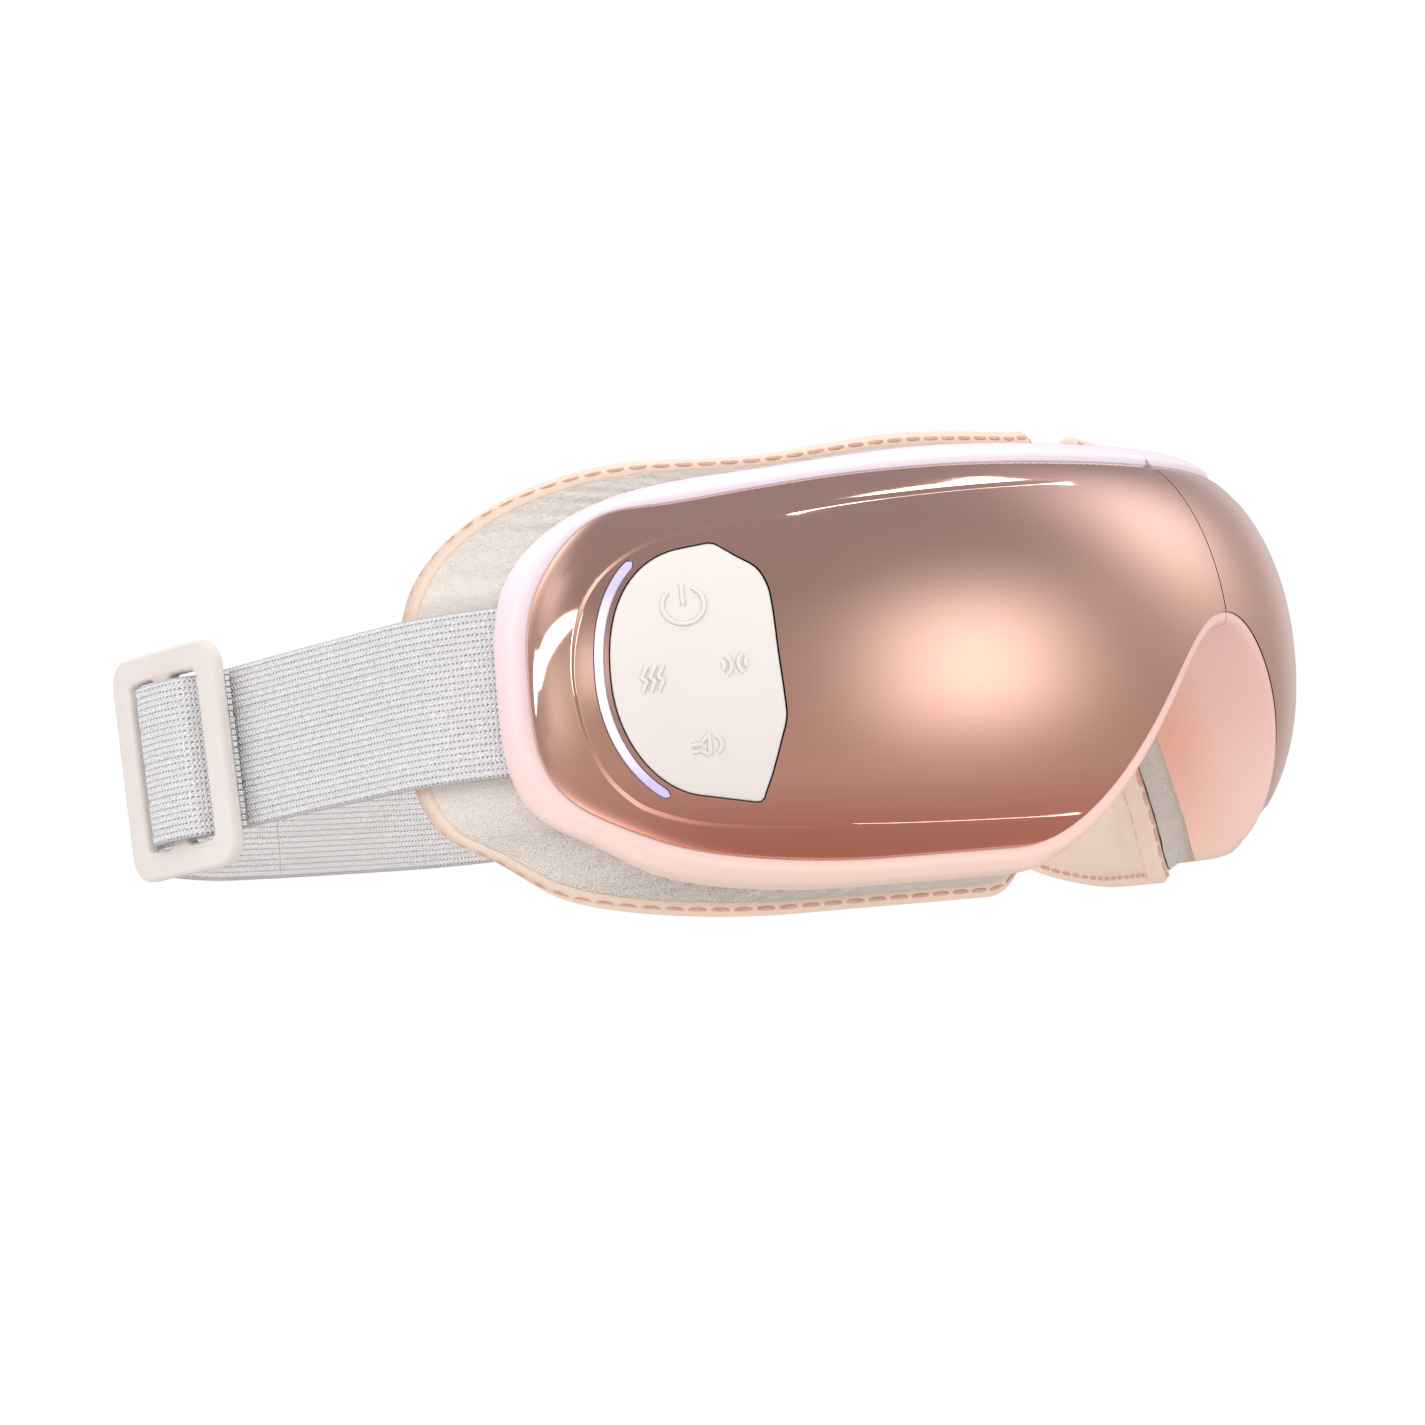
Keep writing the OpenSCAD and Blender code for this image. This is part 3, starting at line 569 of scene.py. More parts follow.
# ---------- front covers ----------
PANEL_C, PANEL_R = np.array([100.0, -0.1]), (14.7, 20.6)
PANEL_MID = np.array([99.5, -0.5])
LIGHT_ENDS = (56, -64)    # the light bar's ends, in degrees round the panel
BAR_OUT, BAR_HALF, BAR_HOLE = 1.72, 0.78, 0.86
CREASE = catmull([
    [30, 28.9], [52, 27.9], [66, 27.0], [78, 26.0], [88, 24.9], [95, 24.0], [101.5, 22.9], [105.6, 22.1],
    [109, 20.9], [112.4, 18.9], [115.3, 16.4], [117.6, 13.2], [119, 9.6], [120, 5.3], [120.4, 0.5],
    [120.1, -3.8], [119.4, -8.2], [118.1, -12.4], [116.2, -16.4], [113.3, -19.8], [110.2, -22],
    [104, -24.4], [96, -25.9], [87.2, -26.8], [77.5, -27.5], [63.5, -28.1], [45, -28.6], [30, -28.8]], 6)
CREASE_STEP, CREASE_HALF = 0.6, 0.36


def panel_arc(grow, a):
    """A point of the panel's round side, an ellipse squarer above than below, at a degrees."""
    a = np.radians(a)
    k = np.where(a > 0, 0.85, 1.0)
    x = (PANEL_R[0] + grow) * np.cos(a) ** k
    return PANEL_C + np.stack([x, (PANEL_R[1] + grow) * np.sign(a) * np.abs(np.sin(a)) ** k], -1)


def panel_outline(grow, step=4):
    arc = panel_arc(grow, np.arange(84, -84.1, -step))
    low = np.array([[94.2, -22.2 - grow], [93.3, -22.25 - grow], [92.8 - grow * 0.7, -21.7 - grow * 0.7]])
    side = catmull([[92.7 - grow, -21.2], [91.5 - grow, -17.8], [90.2 - grow, -13.2], [89.1 - grow, -9.0],
                    [89.2 - grow, -5.0], [89.6 - grow, 2], [89.8 - grow, 10],
                    [90.2 - grow, 13.4 + grow * 0.2], [91.5 - grow, 16.2 + grow * 0.6],
                    [94.3 - grow * 0.5, 18.4 + grow * 0.9]], 5)
    peak = np.array([[96.6, 20.3 + grow], [97.3, 20.75 + grow], [98.2, 20.9 + grow]])
    return np.concatenate([arc, low, side, peak])


def bar_edges(half_width, over, n=61):
    """The light bar's outer and inner edge, with rounded ends that run over by so many degrees."""
    a = np.linspace(LIGHT_ENDS[0] + over, LIGHT_ENDS[1] - over, n)
    taper = np.sqrt(1 - np.abs(np.linspace(-1, 1, n)) ** 40) * 0.99 + 0.01
    return panel_arc(BAR_OUT + half_width * taper, a), panel_arc(BAR_OUT - half_width * taper, a)


def crease_height(s, z):
    """How far the cover steps down outside the crease, less towards the bridge and the edge."""
    p = np.stack([s, z], -1)
    best = np.full(s.shape, 1e9)
    sign = np.zeros(s.shape)
    for a, b in zip(CREASE[:-1], CREASE[1:]):
        ab = b - a
        t = clamp01(((p - a) @ ab) / (ab @ ab))
        v = p - a - t[..., None] * ab
        dist = np.linalg.norm(v, axis=-1)
        turn = ab[0] * v[..., 1] - ab[1] * v[..., 0]
        sign = np.where(dist < best, np.sign(turn), sign)
        best = np.minimum(best, dist)
    outside = smooth01(sign * best / CREASE_HALF / 2 + 0.5)
    fade = 0.6 * smooth01((s - 30) / 22) + 0.4 * smooth01((s - 60) / 44)
    return CREASE_STEP * outside * fade * clamp01(dome_at(s, z) / 4)


def cover_place(s, z):
    s, z = np.asarray(s, float), np.asarray(z, float)
    return at(s, z, crease_height(s, z) - dome_at(s, z))


def cover(side_name):
    side = SIDES[side_name]
    edge = outline(0, 0, GAP, 0, 6)
    holes = []
    if side_name == "right":
        outer, inner = bar_edges(BAR_HOLE, 0.35)
        holes = [panel_outline(0.17), np.concatenate([outer, inner[::-1]])]
    rings = [0.9985, 0.995, 0.989, 0.981, 0.971, 0.959, 0.945]
    loose = spread_points(edge, holes, 1.0, rings, MIDDLE)
    away = np.min([np.linalg.norm(loose - q, axis=1) for q in dense(CREASE, 1.0)], axis=0) > 1.1
    crease = dense(CREASE, 0.8)
    along = np.gradient(crease, axis=0)
    across = np.stack([-along[:, 1], along[:, 0]], -1) / np.linalg.norm(along, axis=1, keepdims=True)
    bands = np.concatenate([crease + across * k for k in (-0.8, -0.4, -0.24, -0.1, 0, 0.1, 0.24, 0.4, 0.8)])
    for hole in holes:
        bands = bands[~inside(bands, hole) & away_from(bands, hole, 0.2)]
    bands = bands[inside(bands, MIDDLE + (edge - MIDDLE) * 0.975)]
    st, tris = filled(edge, holes, np.concatenate([loose[away], bands]))
    # The dome rises upright from its edge, so normals there are taken a little inside it.
    normals = surface_normals(cover_place, MIDDLE + (st - MIDDLE) * 0.996, 0.03) * [side, 1, 1]
    # Walls run inwards from the outline and from both openings.
    wall_v, wall_f, wall_n = [], [], []
    for loop in [edge] + holes:
        outwards = np.roll(loop, -1, 0) - np.roll(loop, 1, 0)
        ccw = np.sum(loop[:, 0] * np.roll(loop[:, 1], -1) - np.roll(loop[:, 0], -1) * loop[:, 1]) > 0
        depth = crease_height(*loop.T) - dome_at(*loop.T)
        a = to_row(at(*loop.T, depth), side)
        b = to_row(at(*loop.T, depth + WALL), side)
        m, k = len(loop), len(st) + len(wall_v)
        wall_v += [*a, *b]
        turned = bool(ccw) == (loop is edge)
        for i in range(m):
            j = (i + 1) % m
            face = (k + i, k + m + i, k + m + j, k + j)
            wall_f.append(face[::-1] if turned else face)
        out = np.stack([outwards[:, 1], -outwards[:, 0]], -1) * (1 if turned else -1)
        beside = loop + out * 0.05
        tip = at(*beside.T, depth) - at(*loop.T, depth)
        tip = tip / np.maximum(np.linalg.norm(tip, axis=1, keepdims=True), 1e-9) * [side, 1, 1]
        wall_n += [*tip, *tip]
    verts = np.concatenate([to_row(cover_place(*st.T), side), np.array(wall_v)])
    obj = make(f"{side_name}_cover_skin", verts, [tuple(t) for t in tris] + wall_f, side,
               np.concatenate([normals, np.array(wall_n)]))
    return finish_piece(obj, "rose_mirror", f"{side_name}_half", [f"{side_name}_front_cover"])


# ---------- frames ----------
def frame_ring(out, ext, seam, nose, share, d, fine):
    points = outline(out, ext, seam, nose, fine)
    edge = outline(0, 0, GAP, 0, fine)
    dome = dome_at(*edge.T)
    # The wall at the bridge stays behind the cover's own edge.
    seam_wall = (np.arange(len(points)) > 0) & (points[:, 0] < seam + 0.05) & (points[:, 1] > ARCH_TOP + 0.5)
    dome = np.where(seam_wall, dome_at(*points.T), dome)
    behind = 0.6 * seam_wall * (points[:, 1] < COVER_H / 2 - 0.8) * (d < 1)
    return at(*points.T, d + behind - (1 - share) * dome)


def boolean_cut(obj, cutter):
    def add(o):
        m = o.modifiers.new("cut", "BOOLEAN")
        m.operation, m.solver, m.object = "DIFFERENCE", "EXACT", cutter
    modified(obj, add)
    bpy.data.objects.remove(cutter)


def local_box(s, z, d, size, side):
    """A box whose own X runs along the shell and whose Y runs inwards, starting at depth d."""
    lx, ly, lz = size
    c = np.array([[x, y, h] for x in (-lx / 2, lx / 2) for y in (0, ly) for h in (-lz / 2, lz / 2)])
    t = s / PLAN_R
    turn = np.array([[math.cos(t), -math.sin(t), 0], [math.sin(t), math.cos(t), 0], [0, 0, 1]])
    v = to_row(at(s, z, d) + c @ turn.T, side)
    f = [(0, 1, 3, 2), (4, 6, 7, 5), (0, 4, 5, 1), (2, 3, 7, 6), (0, 2, 6, 4), (1, 5, 7, 3)]
    return make("cutter", v, f, side, smooth=False)


def shell_frame(side_name):
    side, fine = SIDES[side_name], 4
    keys = np.array([
        [-0.4, -0.4, GAP, -0.4, 0, 1.4], [0.0, 0.0, GAP, 0.0, 0, 0.22], [0.22, 0.26, GAP, 0.28, 0, 0.13],
        [0.6, 0.7, GAP, 0.75, 0, 0.11], [1.4, 1.7, GAP, 1.6, 0, 0.14],
        [2.1, 3.1, GAP, 2.2, 0.02, 0.7], [3.1, 5.0, GAP, 2.8, 0.14, 2.3], [3.8, 6.6, GAP, 3.0, 0.3, 4.2],
        [4.3, 7.9, GAP, 3.05, 0.62, 8.0], [4.5, 8.5, GAP, 3.0, 1, 12.0]])
    profile = np.concatenate([keys[:1], catmull(keys[1:], 3)])
    tail = np.array([[4.35, 8.3, GAP + 0.2, 2.85, 1, FRAME_D], [2.7, 5.4, GAP + WALL, 1.2, 1, FRAME_D],
                     [1.9, 3.8, GAP + WALL, 0.9, 0.3, 5], [-2.4, -2.4, 2.4, -2.4, 0, 2.1],
                     [-1.6, -1.6, 1.6, -1.6, 0, 1.9]])
    rings = [frame_ring(*row, fine) for row in np.concatenate([profile, tail])]
    n = len(rings[0])
    verts = to_row(np.concatenate(rings), side)
    obj = make(f"{side_name}_frame_skin", verts, grid_faces(len(rings), n, True, True), side)
    boolean_cut(obj, local_box(134.8, 0, 9.3, (9, 4, STRAP_W + 3), side))
    if side_name == "left":
        low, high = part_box("charging_port")
        c = (low + high) / 2
        a = np.linspace(0, 2 * np.pi, 40, endpoint=False)
        t = 84 / PLAN_R
        flat = np.stack([2.9 * np.sign(np.cos(a)) + 1.9 * np.cos(a), 1.9 * np.sin(a)], -1) * MM
        along, inwards = (math.cos(t), math.sin(t)), (-math.sin(t), math.cos(t))
        ring = [[c[k] + along[k] * x + inwards[k] * y for k in (0, 1)] for x, y in flat]
        verts = [(x, y, low.z + dz) for dz in (-0.008, 0.003) for x, y in ring]
        cap = [tuple(reversed(range(40))), tuple(range(40, 80))]
        boolean_cut(obj, make("cutter", verts, grid_faces(2, 40, False, True) + cap, 1, smooth=False))
    sharp_over(obj, 38)
    return finish_piece(obj, "blush_plastic", f"{side_name}_half", [f"{side_name}_frame"])


# ---------- control panel and light bar ----------
def panel_icons():
    """Lines of the four raised signs, as [s, z] points. Seen from outside, s grows to the left."""
    def arc(c, r, start, end, n=16):
        turns = np.radians(np.linspace(start, end, n))
        return [(c[0] + r * math.cos(a), c[1] + r * math.sin(a)) for a in turns]

    power, heat, massage, sound = (102.9, 10.9), (108.4, -0.9), (96.1, 0.4), (100.7, -12.5)
    x, z = power
    lines = [arc(power, 3.15, 118, 412, 40), [(x, z - 0.2), (x, z + 3.6)]]
    x, z = heat
    for ds in (-1.25, 0, 1.25):
        lines.append([(x + ds + a, z + h) for a, h in ((0.5, -2.2), (-0.35, -0.3), (0.4, 0.3), (-0.5, 2.2))])
    for sign, middle in ((1, 180), (-1, 0)):
        lines += [arc((massage[0] + sign * 2.55, massage[1] + sign * -0.15), r, middle - 55, middle + 55)
                  for r in (1.0, 2.05)]
    x, z = sound
    lines += [[(x, z + 2), (x, z - 1.7)], [(x, z + 2), (x + 1.2, z + 0.5)],
              [(x, z - 1.7), (x + 1.2, z - 0.7)],
              [(x + 1.2, z + 0.4), (x + 2.9, z + 0.2)], [(x + 1.2, z - 0.7), (x + 2.7, z - 0.9)],
              arc((x - 0.1, z + 0.1), 1.7, 125, 235, 12)]
    return lines


def ridge(line, width, height, base):
    """A raised rounded line on the domed surface: [s, z] points and how far over depth base it rises."""
    p = dense(line, 0.28)
    along = np.gradient(p, axis=0)
    along /= np.maximum(np.linalg.norm(along, axis=1, keepdims=True), 1e-9)
    across = np.stack([-along[:, 1], along[:, 0]], -1)
    section = [(-0.5, 0.0), (-0.4, 0.62), (-0.18, 0.95), (0.18, 0.95), (0.4, 0.62), (0.5, 0.0)]
    rise = np.ones(len(p))
    rise[[0, -1]] = 0.0
    rise[[1, -2]] = 0.8
    rows = []
    for x, h in section:
        q = p + across * x * width
        rows.append(at(*q.T, base - dome_at(*q.T) - height * h * rise))
    v = np.concatenate(rows)
    return v, grid_faces(len(section), len(p), flip=True)


# Painted shade: the sides of the raised signs are painted a darker brown than the panel's cream.
SIGN_SIDE_SHADE = moulded("painted_sign_shade", (0.52, 0.40, 0.31), (0.60, 0.47, 0.37), (0.45, 0.6))


def control_panel():
    side = -1
    edge = panel_outline(0)
    top = PANEL_MID + (edge - PANEL_MID) * 0.985
    st, tris = filled(top, [], spread_points(top, [], 0.9, [0.975, 0.94], PANEL_MID, 0.2))

    def face_depth(p):
        """The keypad is slightly dished inside its rim."""
        reach = np.min([np.linalg.norm(p - q, axis=1) for q in edge], axis=0)
        return 0.1 + 0.28 * (1 - smooth01(1 - reach / 7))

    parts = [(at(*st.T, face_depth(st) - dome_at(*st.T)), [t[::-1] for t in tris])]
    rows = []
    for share, d in ((0.985, 0.1), (0.993, 0.16), (0.999, 0.34), (1.0, 0.6), (1.0, 2.0)):
        q = PANEL_MID + (edge - PANEL_MID) * share
        base = face_depth(q) - 0.1 if share < 0.99 else 0
        rows.append(at(*q.T, d + base - dome_at(*q.T)))
    parts.append((np.concatenate(rows), grid_faces(len(rows), len(edge), closed_cols=True, flip=True)))
    signs = [ridge(line, 0.8, 0.34, float(np.mean(face_depth(np.array(line))))) for line in panel_icons()]
    relief = joined("panel_signs", [(to_row(v, side), f) for v, f in signs], side)
    finish_piece(relief, "cream_plastic", "control_panel")
    relief.data.materials.append(SIGN_SIDE_SHADE)
    # Painted shade: the two outer strips of each ridge's five are its sides, which take the darker brown.
    first = 0
    for _, faces in signs:
        run = len(faces) // 5
        for k in (*range(run), *range(4 * run, 5 * run)):
            relief.data.polygons[first + k].material_index = 1
        first += len(faces)
    parts = [(to_row(v, side), f) for v, f in parts]
    obj = joined("control_panel_skin", parts, side)
    welded(obj, 0.00001)
    sharp_over(obj, 50)
    return finish_piece(obj, "cream_plastic", "control_panel", ["control_panel"])


def light_bar():
    half = [(0.5, 0.02), (0.86, 0.12), (1, 0.3), (1, 2.4)]
    rows = []
    for across, d in [(-a, d) for a, d in reversed(half)] + [(0, -0.03)] + half:
        p = bar_edges(BAR_HALF * abs(across), 0)[0 if across > 0 else 1]
        rows.append(at(*p.T, d - dome_at(*p.T)))
    obj = make("light_bar_skin", to_row(np.concatenate(rows), -1),
               grid_faces(len(rows), len(rows[0]), flip=True), -1)
    sharp_over(obj, 50)
    return finish_piece(obj, "light_guide", "right_half", ["light_bar"])


# ---------- fabric sides ----------
def ring_run(points):
    """Distance along a closed ring of points, from its first."""
    step = np.linalg.norm(np.roll(points, -1, 0) - points, axis=1)
    return np.concatenate([[0], np.cumsum(step)[:-1]])


def gusset(side_name):
    side, fine = SIDES[side_name], 6
    keys = np.array([[3.0, 2.2, 5, 2.4, 12.5], [3.5, 5.2, 5, 2.6, 13.2], [4.5, 14, 5, 2.7, 14.8],
                     [5.3, 23.2, 5, 2.8, 16.4], [5.6, 28.7, 5, 2.9, 17.4]])
    profile = catmull(keys, 4)
    run = ring_run(outline(4.6, 14, 5, 2.4, fine))
    total = run[-1] + 1
    rings, uvs, width = [], [], 0.0
    for k, (out, ext, seam, nose, d) in enumerate(profile):
        share = k / (len(profile) - 1)
        # The fabric draws in a little between its two seams and puckers beside them.
        sag = 0.5 * math.sin(math.pi * share)
        waves = np.sin(run / total * 2 * np.pi * 61) * 0.6 + np.sin(run / total * 2 * np.pi * 37 + 1.3) * 0.4
        pucker = 0.16 * waves * (1 - abs(2 * share - 1) ** 2 * 0.4)
        p = outline(out - sag, ext - sag, seam, nose - sag * 0.3, fine)
        ring = at(*p.T, d + pucker)
        if rings:
            width += np.linalg.norm(ring - rings[-1], axis=1).mean()
        rings.append(ring)
        uvs.append(np.stack([run, np.full(len(run), width)], -1))
    n = len(run)
    verts = np.concatenate(rings)
    faces = grid_faces(len(rings), n, closed_cols=True)
    # It is open at the bridge, where the hinge leaves pass through.
    low = (verts[:, 2] > 6.0) & (verts[:, 0] < 5.2)
    faces = [f for f in faces if not low[list(f)].all()]
    obj = make(f"{side_name}_gusset_cloth", to_row(verts, side), faces, side)
    millimetre_uv(obj, np.concatenate(uvs))
    finish_piece(obj, "sand_fabric", f"{side_name}_half", [f"{side_name}_gusset"])
    return obj


# ---------- padded face side ----------
def pad_rings(fine):
    """Sections of the face pad, as (ring, depth): its back, sewn flange, crown and eye opening."""
    rim = outline(PAD_OUT, PAD_EXT, PAD_SEAM, 4.6, fine)
    inner = outline(PAD_OUT - 2.6, PAD_EXT - 3.0, PAD_SEAM + 1.2, 3.4, fine)
    hole = around_eye(rim)
    mixed = lambda share: inner + (hole - inner) * share
    edge = lambda out: rim + (inner - rim) * out
    back = [(hole, 18.0), (mixed(0.5), 17.7), (inner, 17.7)]
    flange = [(edge(0.4), 18.1), (edge(0.04), 18.7), (edge(0.0), 19.6), (edge(0.05), 20.6),
              (edge(0.35), 21.3), (edge(0.8), 21.45), (inner, 21.4)]
    crown = [(mixed(0.06), 22.3), (mixed(0.16), 24.0), (mixed(0.3), 25.3), (mixed(0.48), 26.2),
             (mixed(0.66), 26.4), (mixed(0.82), 25.7), (mixed(0.93), 24.5), (mixed(0.99), 22.8), (hole, 20.6)]
    return back + flange + crown


PAD_SEWN = 10             # the first sections, held still by the sewing while the filling swells
PAD_CAP = 1.1             # the most that the filling moves the leather, in millimetres


def inflate(verts, faces, fixed, cap):
    """Swells a closed skin with Cloth pressure. No vertex moves further than cap millimetres."""
    obj = make("swelling", verts * MM * 10, faces)
    group = obj.vertex_groups.new(name="sewn")
    group.add([int(i) for i in np.flatnonzero(fixed)], 1.0, "REPLACE")
    cloth = obj.modifiers.new("Cloth", "CLOTH")
    s = cloth.settings
    s.quality, s.mass, s.tension_stiffness, s.compression_stiffness, s.bending_stiffness = 5, 0.3, 15, 15, 0.6
    s.vertex_group_mass, s.pin_stiffness = "sewn", 1.0
    s.use_pressure, s.uniform_pressure_force = True, 4.0
    s.effector_weights.gravity = 0
    cloth.point_cache.frame_start, cloth.point_cache.frame_end = 1, 20
    scene = bpy.context.scene
    for f in range(1, 21):
        scene.frame_set(f)
    graph = bpy.context.evaluated_depsgraph_get()
    swollen = np.array([v.co for v in obj.evaluated_get(graph).data.vertices]) / MM / 10
    scene.frame_set(1)
    bpy.data.objects.remove(obj)
    move = swollen - verts
    length = np.linalg.norm(move, axis=1, keepdims=True)
    return verts + move * np.minimum(1, cap / np.maximum(length, 1e-6))


def pad_shape():
    """The pad's sections after the filling has swollen them: rows x points x 3, for the left half."""
    section = pad_rings(2)
    rows = np.stack([at(*p.T, d) for p, d in section])
    k, n = rows.shape[:2]
    fixed = np.zeros((k, n), bool)
    fixed[:PAD_SEWN] = True
    fixed[-1] = True
    swollen = inflate(rows.reshape(-1, 3), grid_faces(k, n, True, True), fixed.ravel(), PAD_CAP)
    rows = swollen.reshape(k, n, 3)
    return rows


PAD_ROWS = pad_shape()
STITCH_ROWS = (2.8, 7.6)  # where along the sections the running stitch lies, on the front and the face side
STITCH_STEP, STITCH_LENGTH = 3.9, 3.1
PAD_FINE = 3              # rows of the leather's mesh to one section


def refine_closed(rows, per):
    """Catmull-Rom refinement around closed rings, per steps between neighbouring points."""
    a, b, c, d = (np.roll(rows, k, 1) for k in (1, 0, -1, -2))
    t = (np.arange(per) / per)[None, None, :, None]
    a, b, c, d = (v[:, :, None, :] for v in (a, b, c, d))
    return spline(a, b, c, d, t).reshape(rows.shape[0], -1, 3)


def face_pad(side_name):
    side = SIDES[side_name]
    rows = refine_closed(PAD_ROWS, 4)
    rows = np.stack([catmull(rows[:, j], PAD_FINE) for j in range(rows.shape[1])], 1)
    k, n = rows.shape[:2]
    # Small puckers fan out from the sewing into the leather.
    run = ring_run(rows[PAD_FINE * 8])
    reach = np.exp(-((np.arange(k) - PAD_FINE * 9.6) / 3.2) ** 2)[:, None]
    wave = np.sin(run * 2 * np.pi / STITCH_STEP)[None] * 0.07 + np.sin(run * 0.55 + 1)[None] * 0.12
    around = np.roll(rows, -1, 1) - np.roll(rows, 1, 1)
    over = np.gradient(rows, axis=0)
    normal = np.cross(over, around)
    normal /= np.maximum(np.linalg.norm(normal, axis=2, keepdims=True), 1e-9)
    rows = rows + normal * (wave * reach)[..., None]
    for row in STITCH_ROWS:
        dip = np.exp(-((np.arange(k) - PAD_FINE * row) / 1.1) ** 2)[:, None, None]
        rows = rows - normal * dip * 0.16
    verts = to_row(rows.reshape(-1, 3), side)
    obj = make(f"{side_name}_pad_leather", verts, grid_faces(k, n, True, True), side)
    finish_piece(obj, "cream_leather", f"{side_name}_half", [f"{side_name}_face_pad"])
    sewn = [round(PAD_FINE * row) for row in STITCH_ROWS]
    stitches(side_name, [(rows[i], normal[i]) for i in sewn])
    return obj


def stitches(side_name, rows):
    """Running stitches of rounded threads laid on both faces of the pad's flange."""
    side = SIDES[side_name]
    parts = []
    for ring, normal in rows:
        closed = np.concatenate([ring, ring[:1]])
        closed_n = np.concatenate([normal, normal[:1]])
        run = np.concatenate([[0], np.cumsum(np.linalg.norm(np.diff(closed, axis=0), axis=1))])
        count = int(run[-1] / STITCH_STEP)
        a = np.linspace(0, 2 * np.pi, 8, endpoint=False)
        for i in range(count):
            w = (i + np.linspace(0, STITCH_LENGTH / STITCH_STEP, 9)) * run[-1] / count
            p = np.stack([np.interp(w, run, closed[:, c]) for c in range(3)], -1)
            up = np.stack([np.interp(w, run, closed_n[:, c]) for c in range(3)], -1)
            along = np.gradient(p, axis=0)
            along /= np.linalg.norm(along, axis=1, keepdims=True)
            across = np.cross(along, up)
            lift = np.sin(np.linspace(0, np.pi, 9)) ** 0.35
            radius = 0.14 + 0.32 * lift
            mid = p + up * (0.02 + 0.16 * lift)[:, None]
            v = mid[:, None] + radius[:, None, None] * (np.cos(a)[None, :, None] * across[:, None]
                                                       + 0.55 * np.sin(a)[None, :, None] * up[:, None])
            parts.append((to_row(v.reshape(-1, 3), side), grid_faces(9, 8, closed_cols=True)
                          + [tuple(range(7, -1, -1)), tuple(range(64, 72))]))
    obj = joined(f"{side_name}_pad_stitches", parts, side)
    finish_piece(obj, THREAD, f"{side_name}_half")
    return obj


def thread_paint():
    p = Paint("copper_thread", Sheen_Weight=0.3, Sheen_Roughness=0.4)
    p.colour(p.noise(700, 3), [(0.3, (0.60, 0.33, 0.26)), (0.7, (0.74, 0.46, 0.37))])
    p.rough(p.noise(900, 2), 0.45, 0.65)
    return p.bump(p.wave(900, "DIAGONAL"), 0.0001, 0.7).mat


THREAD = thread_paint()


def eye_lining(side_name):
    side = SIDES[side_name]
    rings, n = 18, 96
    a = np.linspace(0, -2 * np.pi, n, endpoint=False)
    rows, uvs = [], []
    for k in range(rings + 1):
        r = max(k / rings, 0.02)
        p = EYE + np.stack([np.cos(a), np.sin(a)], -1) * (EYE_R - 0.35) * r
        d = 20.2 - 0.9 * r**2 - 0.12 * np.sin(a * 9) * r**4
        rows.append(at(*p.T, d))
        uvs.append(p)
    verts = np.concatenate(rows + [at(EYE[0], EYE[1], 20.2)[None]])
    uvs = np.concatenate(uvs + [EYE[None]])
    hub = len(verts) - 1
    faces = grid_faces(rings + 1, n, closed_cols=True) + [(hub, (i + 1) % n, i) for i in range(n)]
    obj = make(f"{side_name}_eye_cloth", to_row(verts, side), faces, side)
    millimetre_uv(obj, uvs)
    finish_piece(obj, "eye_mesh", f"{side_name}_half", [f"{side_name}_eye_lining"])
    return obj


def bridge_boot():
    """A bowed strip of leather behind the hinge."""
    low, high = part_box("bridge_boot")
    half_width, soft = 7.7, 1.2
    x = np.linspace(-half_width, half_width, 41)
    z = np.linspace(low.z / MM - HALF_HEIGHT, high.z / MM - HALF_HEIGHT, 49)
    bow = 3.2 * np.cos(np.radians(x * 11))

    def rounding(share):
        return np.sqrt(np.maximum(1 - (1 - np.minimum(share, 1)) ** 2, 0))

    verts = []
    for face in (-1, 1):
        for zz in z:
            half = 0.78 * rounding(min(zz - z[0], z[-1] - zz) / soft)
            half = half * rounding((half_width - np.abs(x)) / soft)
            wrinkle = 0.12 * np.sin(zz * 0.9 + 0.6 * np.sin(zz * 0.31)) * np.cos(x / half_width * np.pi / 2)
            verts.append(np.stack([x, 20.4 + bow + face * half + wrinkle, np.full_like(x, zz)], -1))
    verts = np.concatenate(verts)
    n = len(z) * len(x)
    front = grid_faces(len(z), len(x))
    back = [tuple(i + n for i in reversed(f)) for f in front]
    obj = make("bridge_boot_leather", to_row(verts, 1), front + back, 1)
    welded(obj, 0.00002)
    finish_piece(obj, "cream_leather", None, ["bridge_boot"])
    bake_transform(obj)
    return obj


# ---------- strap and slide ----------
STRAP_ROUTE = np.array([
    [90.9, 64.8, 0.5, 0.5], [92.6, 70.2, 0.5, 0.4], [93.4, 76.9, 0.5, 0], [94.3, 83.5, 0.5, -0.6],
    [94.8, 92, 0.3, -1.4], [93.6, 100, 0, -2.2], [90.8, 111, -0.6, -3.2], [87.2, 125, -1.4, -4.6],
    [83.6, 139, -2.3, -5.8], [80, 153, -3.2, -7], [75.9, 167, -4.2, -8], [69.4, 178.6, -5.4, -9],
    [59, 188, -7, -9.6], [43, 196, -8.6, -10], [21.5, 201, -9.8, -10], [0.15, LOOP_BACK, -10, -10]])


def rib_height(v):
    """How proud the elastic's face is at share v of its width, as groups of ribs between narrow channels."""
    y = v * STRAP_W
    ribs = 0.05 * np.cos((y / KNIT_RIB - 0.5) * 2 * np.pi)
    for channel in (2.2, 8.1, 14.5, 20.9, 26.8):
        ribs = ribs - 0.2 * np.exp(-((y - channel) / 0.4) ** 2)
    return ribs


